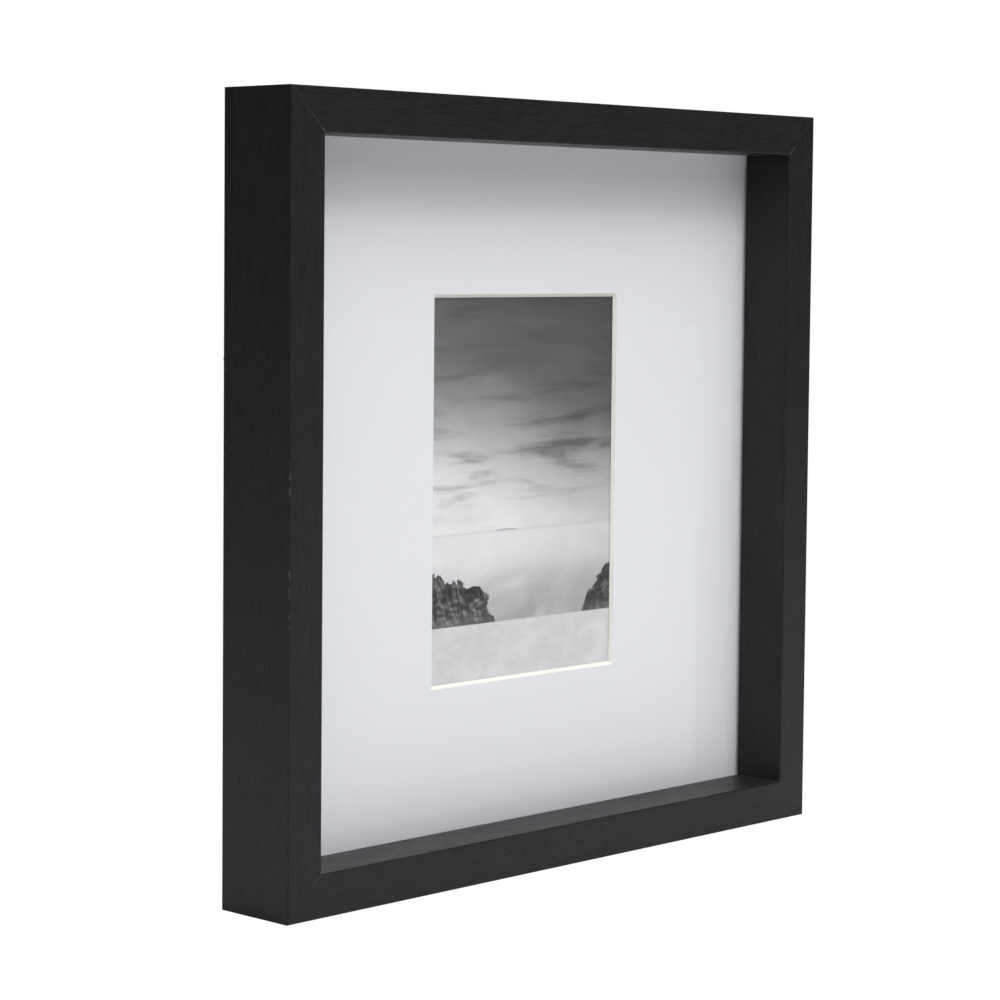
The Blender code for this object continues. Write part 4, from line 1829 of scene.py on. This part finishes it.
@dataclass
class Hangers:
    """Strap hangers on the side rails, each with a free ring of wire.

    Attributes:
        strip: Thickness of the strap's folded strip.
        width: Width of the strap.
        length: Eye to the far end.
        screw: Eye to the screw.
        eye_radius: Outer radius of the eye.
        hole_radius: Radius of the screw's hole.
        wire: Radius of the ring's wire.
        half_width: Middle of the ring to the middle of an arm's wire.
        arm: Straight part of each arm.
        bend: Radius of the bends between the bar and the arms.
        corner_share: Rounding of the strap's corners, as a share of its width.
        sheet_share: Thickness of one fold, as a share of the strip, so that folds don't touch.
        finish: The plating.
    """

    strip: float = 0.6 * MM
    width: float = 4.8 * MM
    length: float = 20.0 * MM
    screw: float = 14.5 * MM
    eye_radius: float = 2.2 * MM
    hole_radius: float = 1.6 * MM
    wire: float = 0.6 * MM
    half_width: float = 3.3 * MM
    arm: float = 5.0 * MM
    bend: float = 0.9 * MM
    corner_share: float = 0.3
    sheet_share: float = 0.96
    finish: PlatedSteel = replace(NICKEL, name="nickel_plated_fittings")

    def strap(self) -> Shape:
        """A strip folded back on itself round an eye at the origin, running down -Z.

        Returns:
            The shape.
        """
        base = -self.eye_radius
        upper = base + 2 * self.strip
        meet = math.pi + math.asin(-upper / self.eye_radius)
        roll = arc((0, 0), self.eye_radius, -QUARTER, meet, 28)
        line = [(-self.length, base)] + roll + [(-self.length, upper)]
        shape = bmesh.new()
        verts = [shape.verts.new((-self.width / 2, y, x)) for x, y in line]
        edges = [shape.edges.new(pair) for pair in zip(verts, verts[1:])]
        grown = bmesh.ops.extrude_edge_only(shape, edges=edges)
        far = of_kind(grown["geom"], bmesh.types.BMVert)
        bmesh.ops.translate(shape, vec=(self.width, 0, 0), verts=far)
        ends = [v for v in shape.verts if v.co.z < -self.length + WELD]
        bmesh.ops.bevel(
            shape,
            geom=ends,
            offset=self.width * self.corner_share,
            segments=6,
            profile=0.5,
            affect="VERTICES",
            material=-1,
        )
        bmesh.ops.recalc_face_normals(shape, faces=shape.faces)
        sheet = self.strip * self.sheet_share
        bmesh.ops.solidify(shape, geom=shape.faces[:], thickness=sheet)
        return shape

    def ring(self) -> Shape:
        """A D of wire: its bar lies on X through the origin and its bow hangs along -Z.

        Returns:
            The shape.
        """
        shape = bmesh.new()
        first = bmesh.ops.create_circle(shape, segments=20, radius=self.wire)
        upright = Matrix.Rotation(QUARTER, 3, "Y")
        bmesh.ops.rotate(shape, cent=(0, 0, 0), matrix=upright, verts=shape.verts)
        loop = first["verts"] + shape.edges[:]
        half_bar = self.half_width - self.bend
        down = self.arm - self.bend
        loop = self.run(shape, loop, (half_bar, 0, 0))
        loop = self.curl(shape, loop, (half_bar, 0, -self.bend), QUARTER, 8)
        loop = self.run(shape, loop, (0, 0, -down))
        loop = self.curl(shape, loop, (0, 0, -self.arm), math.pi, 28)
        loop = self.run(shape, loop, (0, 0, down))
        loop = self.curl(shape, loop, (-half_bar, 0, -self.bend), QUARTER, 8)
        self.run(shape, loop, (half_bar, 0, 0))
        bmesh.ops.remove_doubles(shape, verts=shape.verts, dist=WELD * 10)
        bmesh.ops.recalc_face_normals(shape, faces=shape.faces)
        return shape

    @staticmethod
    def run(shape: Shape, loop: list, way: Sequence[float]) -> list:
        """Carries the end of the wire straight on.

        Args:
            shape: The wire so far.
            loop: Vertices and edges of its end.
            way: How far to carry them.

        Returns:
            Vertices and edges of the new end.
        """
        grown = bmesh.ops.extrude_edge_only(shape, edges=of_kind(loop, bmesh.types.BMEdge))["geom"]
        verts = of_kind(grown, bmesh.types.BMVert)
        bmesh.ops.translate(shape, vec=way, verts=verts)
        fresh = set(verts)
        return verts + [e for e in of_kind(grown, bmesh.types.BMEdge) if fresh.issuperset(e.verts)]

    @staticmethod
    def curl(shape: Shape, loop: list, centre: Sequence[float], angle: float, steps: int) -> list:
        """Carries the end of the wire round a bend in the XZ plane.

        Args:
            shape: The wire so far.
            loop: Vertices and edges of its end.
            centre: Middle of the bend.
            angle: How far it turns.
            steps: Steps round the bend.

        Returns:
            Vertices and edges of the new end.
        """
        return bmesh.ops.spin(
            shape, geom=loop, cent=centre, axis=(0, 1, 0), angle=angle, steps=steps, use_merge=False
        )["geom_last"]

    def build(self) -> None:
        """Makes and dresses both hangers and their rings."""
        nickel = self.finish.material()
        eyes = {joint["child"]: Vector(joint["pos_m"]) for joint in frame["joints"]}
        for side in (Side.LEFT, Side.RIGHT):
            ring_node = "hanging_ring_" + side.word
            eye = Matrix.Translation(eyes[ring_node])
            hole = rod(self.hole_radius, 4 * self.eye_radius, 32)
            moved(hole, Matrix.Translation((0, 0, -self.screw)) @ Matrix.Rotation(QUARTER, 4, "X"))
            strap = moved(carve(self.strap(), [hole]), eye)
            fit("strap_hanger_" + side.word, strap, Slot.NICKEL, nickel)
            fit(ring_node, moved(self.ring(), eye), Slot.NICKEL, nickel)


@dataclass
class Bumpers:
    """Round rubber bumpers near the lower corners of the back.

    Attributes:
        radius: Radius at the base.
        rim: Rounding of its rim.
        flange: How far the foot stands out.
        flange_heights: Where the foot ends and where the body starts, above the wood.
        dimple: (radius, depth) of the dimple's middle ring, below the flat end.
        dimple_radius: Radius of the dimple.
        dimple_depth: Depth of its middle.
        finish: The rubber's finish.
    """

    radius: float = 4.0 * MM
    rim: float = 0.9 * MM
    flange: float = 0.1 * MM
    flange_heights: tuple[float, float] = (0.35 * MM, 0.5 * MM)
    dimple: tuple[float, float] = (1.0 * MM, 0.2 * MM)
    dimple_radius: float = 1.8 * MM
    dimple_depth: float = 0.25 * MM
    finish: DarkRubber = DarkRubber()

    def build(self) -> None:
        """Makes and dresses both bumpers."""
        rubber = self.finish.material()
        for side in (Side.LEFT, Side.RIGHT):
            node = "wall_bumper_" + side.word
            low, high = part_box(node)
            height = high.y - low.y
            rim = arc((self.radius - self.rim, height - self.rim), self.rim, QUARTER, 0, 8)
            ring, fall = self.dimple
            dimple = [
                (0, height - self.dimple_depth),
                (ring, height - fall),
                (self.dimple_radius, height),
            ]
            top, body = self.flange_heights
            edge = self.radius + self.flange
            foot = [(self.radius, body), (edge, top), (edge, 0)]
            bumper = turned(dimple + rim + foot + [(0, 0)], 48)
            spot = Vector(((low.x + high.x) / 2, low.y, (low.z + high.z) / 2))
            fit(node, moved(bumper, facing_back(spot)), Slot.RUBBER, rubber)


# The studio

COOL_WHITE = (0.97, 0.985, 1.025)


@dataclass(frozen=True)
class SoftBox:
    """One rectangular soft light.

    Attributes:
        name: Its name.
        position: Its middle.
        target: What it points at.
        width: Its width.
        height: Its height.
        watts: Its power.
        tint: Its colour.
    """

    name: str
    position: tuple[float, float, float]
    target: tuple[float, float, float]
    width: float
    height: float
    watts: float
    tint: tuple[float, float, float] = (1.0, 1.0, 1.0)

    def build(self) -> None:
        """Adds the light."""
        lamp = bpy.data.lights.new(self.name, "AREA")
        lamp.shape = "RECTANGLE"
        lamp.size = self.width
        lamp.size_y = self.height
        lamp.energy = self.watts
        lamp.color = self.tint
        holder = bpy.data.objects.new(self.name, lamp)
        holder.location = self.position
        way = Vector(self.target) - Vector(self.position)
        holder.rotation_euler = way.to_track_quat("-Z", "Y").to_euler()
        holder.visible_camera = False
        bpy.context.scene.collection.objects.link(holder)


@dataclass(frozen=True)
class Viewpoint:
    """The camera: where it stands and how it is turned.

    Attributes:
        position: Where it stands.
        yaw: Turn from +Y towards +X.
        pitch: Tilt above the horizon.
        roll: Turn about its own axis.
        lens: Focal length for a 36 mm sensor.
        rise: Vertical shift, as a share of the sensor's width.
    """

    position: tuple[float, float, float] = (-0.9113, -0.8465, 0.2620)
    yaw: float = math.radians(46.395)
    pitch: float = math.radians(-3.786)
    roll: float = math.radians(0.547)
    lens: float = 104.78
    rise: float = -0.0579

    def build(self) -> None:
        """Adds the camera and makes it the scene's."""
        data = bpy.data.cameras.new("viewpoint")
        data.sensor_width = 36.0
        data.lens = self.lens
        data.shift_y = self.rise
        data.dof.use_dof = False
        ahead = Vector(
            (
                math.sin(self.yaw) * math.cos(self.pitch),
                math.cos(self.yaw) * math.cos(self.pitch),
                math.sin(self.pitch),
            )
        )
        level = Vector((math.cos(self.yaw), -math.sin(self.yaw), 0))
        upright = level.cross(ahead)
        right = level * math.cos(self.roll) + upright * math.sin(self.roll)
        up = upright * math.cos(self.roll) - level * math.sin(self.roll)
        camera = bpy.data.objects.new("viewpoint", data)
        turn = Matrix((right, up, -ahead)).transposed().to_4x4()
        camera.matrix_world = Matrix.Translation(self.position) @ turn
        bpy.context.scene.collection.objects.link(camera)
        bpy.context.scene.camera = camera


@dataclass(frozen=True)
class Studio:
    """A pale floor, soft lights and a white surround.

    Attributes:
        floor_size: Width of the floor.
        ambient: Brightness of the surround as a light.
        lights: The soft lights.
        viewpoint: The camera.
    """

    floor_size: float = 14.0
    ambient: float = 0.055
    lights: tuple[SoftBox, ...] = (
        SoftBox("overhead", (-0.2, -0.9, 2.0), (0, -0.1, 0.16), 1.6, 1.6, 43.0, COOL_WHITE),
        SoftBox("sky_front", (-0.2, -1.9, 1.7), (0, -0.1, 0.16), 1.6, 1.2, 13.0, COOL_WHITE),
        SoftBox("behind", (1.1, 2.1, 1.3), (0, 0, 0.16), 1.4, 1.4, 34.0),
    )
    viewpoint: Viewpoint = Viewpoint()

    def surround(self) -> None:
        """Makes the world, white to the camera and dimmer as a light."""
        world = bpy.data.worlds.new("white_surround")
        world.use_nodes = True
        nodes = Nodes(world.node_tree)
        for name in ("Background", "World Output"):
            world.node_tree.nodes.remove(world.node_tree.nodes[name])
        light, seen = (nodes.add("ShaderNodeBackground") for _ in range(2))
        for shader, strength in ((light, self.ambient), (seen, 1.0)):
            nodes.feed(shader.inputs["Color"], (1, 1, 1, 1))
            nodes.feed(shader.inputs["Strength"], strength)
        camera_ray = nodes.add("ShaderNodeLightPath").outputs["Is Camera Ray"]
        either = nodes.either(camera_ray, light.outputs[0], seen.outputs[0])
        nodes.feed(nodes.add("ShaderNodeOutputWorld").inputs[0], either)
        bpy.context.scene.world = world

    def floor(self) -> None:
        """Lays the floor under the box, washed out to white before the camera."""
        shape = bmesh.new()
        bmesh.ops.create_grid(shape, x_segments=4, y_segments=4, size=self.floor_size / 2)
        floor = as_object("pale_floor", shape)
        finish, nodes, _ = new_finish(
            "pale_floor", Base_Color=(0.86, 0.86, 0.87, 1.0), Roughness=0.8, Specular_IOR_Level=0.1
        )
        camera_ray = nodes.add("ShaderNodeLightPath").outputs["Is Camera Ray"]
        paint = nodes.tree.nodes["Principled BSDF"].outputs[0]
        white = nodes.add("ShaderNodeEmission").outputs[0]
        surface = nodes.tree.nodes["Material Output"].inputs["Surface"]
        nodes.feed(surface, nodes.either(camera_ray, paint, white))
        floor.data.materials.append(finish)

    def build(self) -> None:
        """Adds the floor, the world, the lights and the camera."""
        self.floor()
        self.surround()
        for light in self.lights:
            light.build()
        self.viewpoint.build()
        bpy.context.scene.view_settings.view_transform = "Standard"
        bpy.context.scene.view_settings.look = "None"


def main() -> None:
    """Builds the studio and every sub-assembly, in order."""
    logging.basicConfig(level=logging.INFO, format="%(name)s %(message)s")
    Studio().build()
    layout = Layout.from_cad()
    nails = MitreNails(layout)
    screws = PanHeadScrews()
    slots = nails.slots()
    holes = screws.pilot_holes()
    Moulding(layout).build({side: slots[side] + holes[side] for side in Side})
    nails.build()
    RabbetStack().build()
    TurnButtons().build()
    screws.build()
    Hangers().build()
    Bumpers().build()


if __name__ == "__main__":
    main()
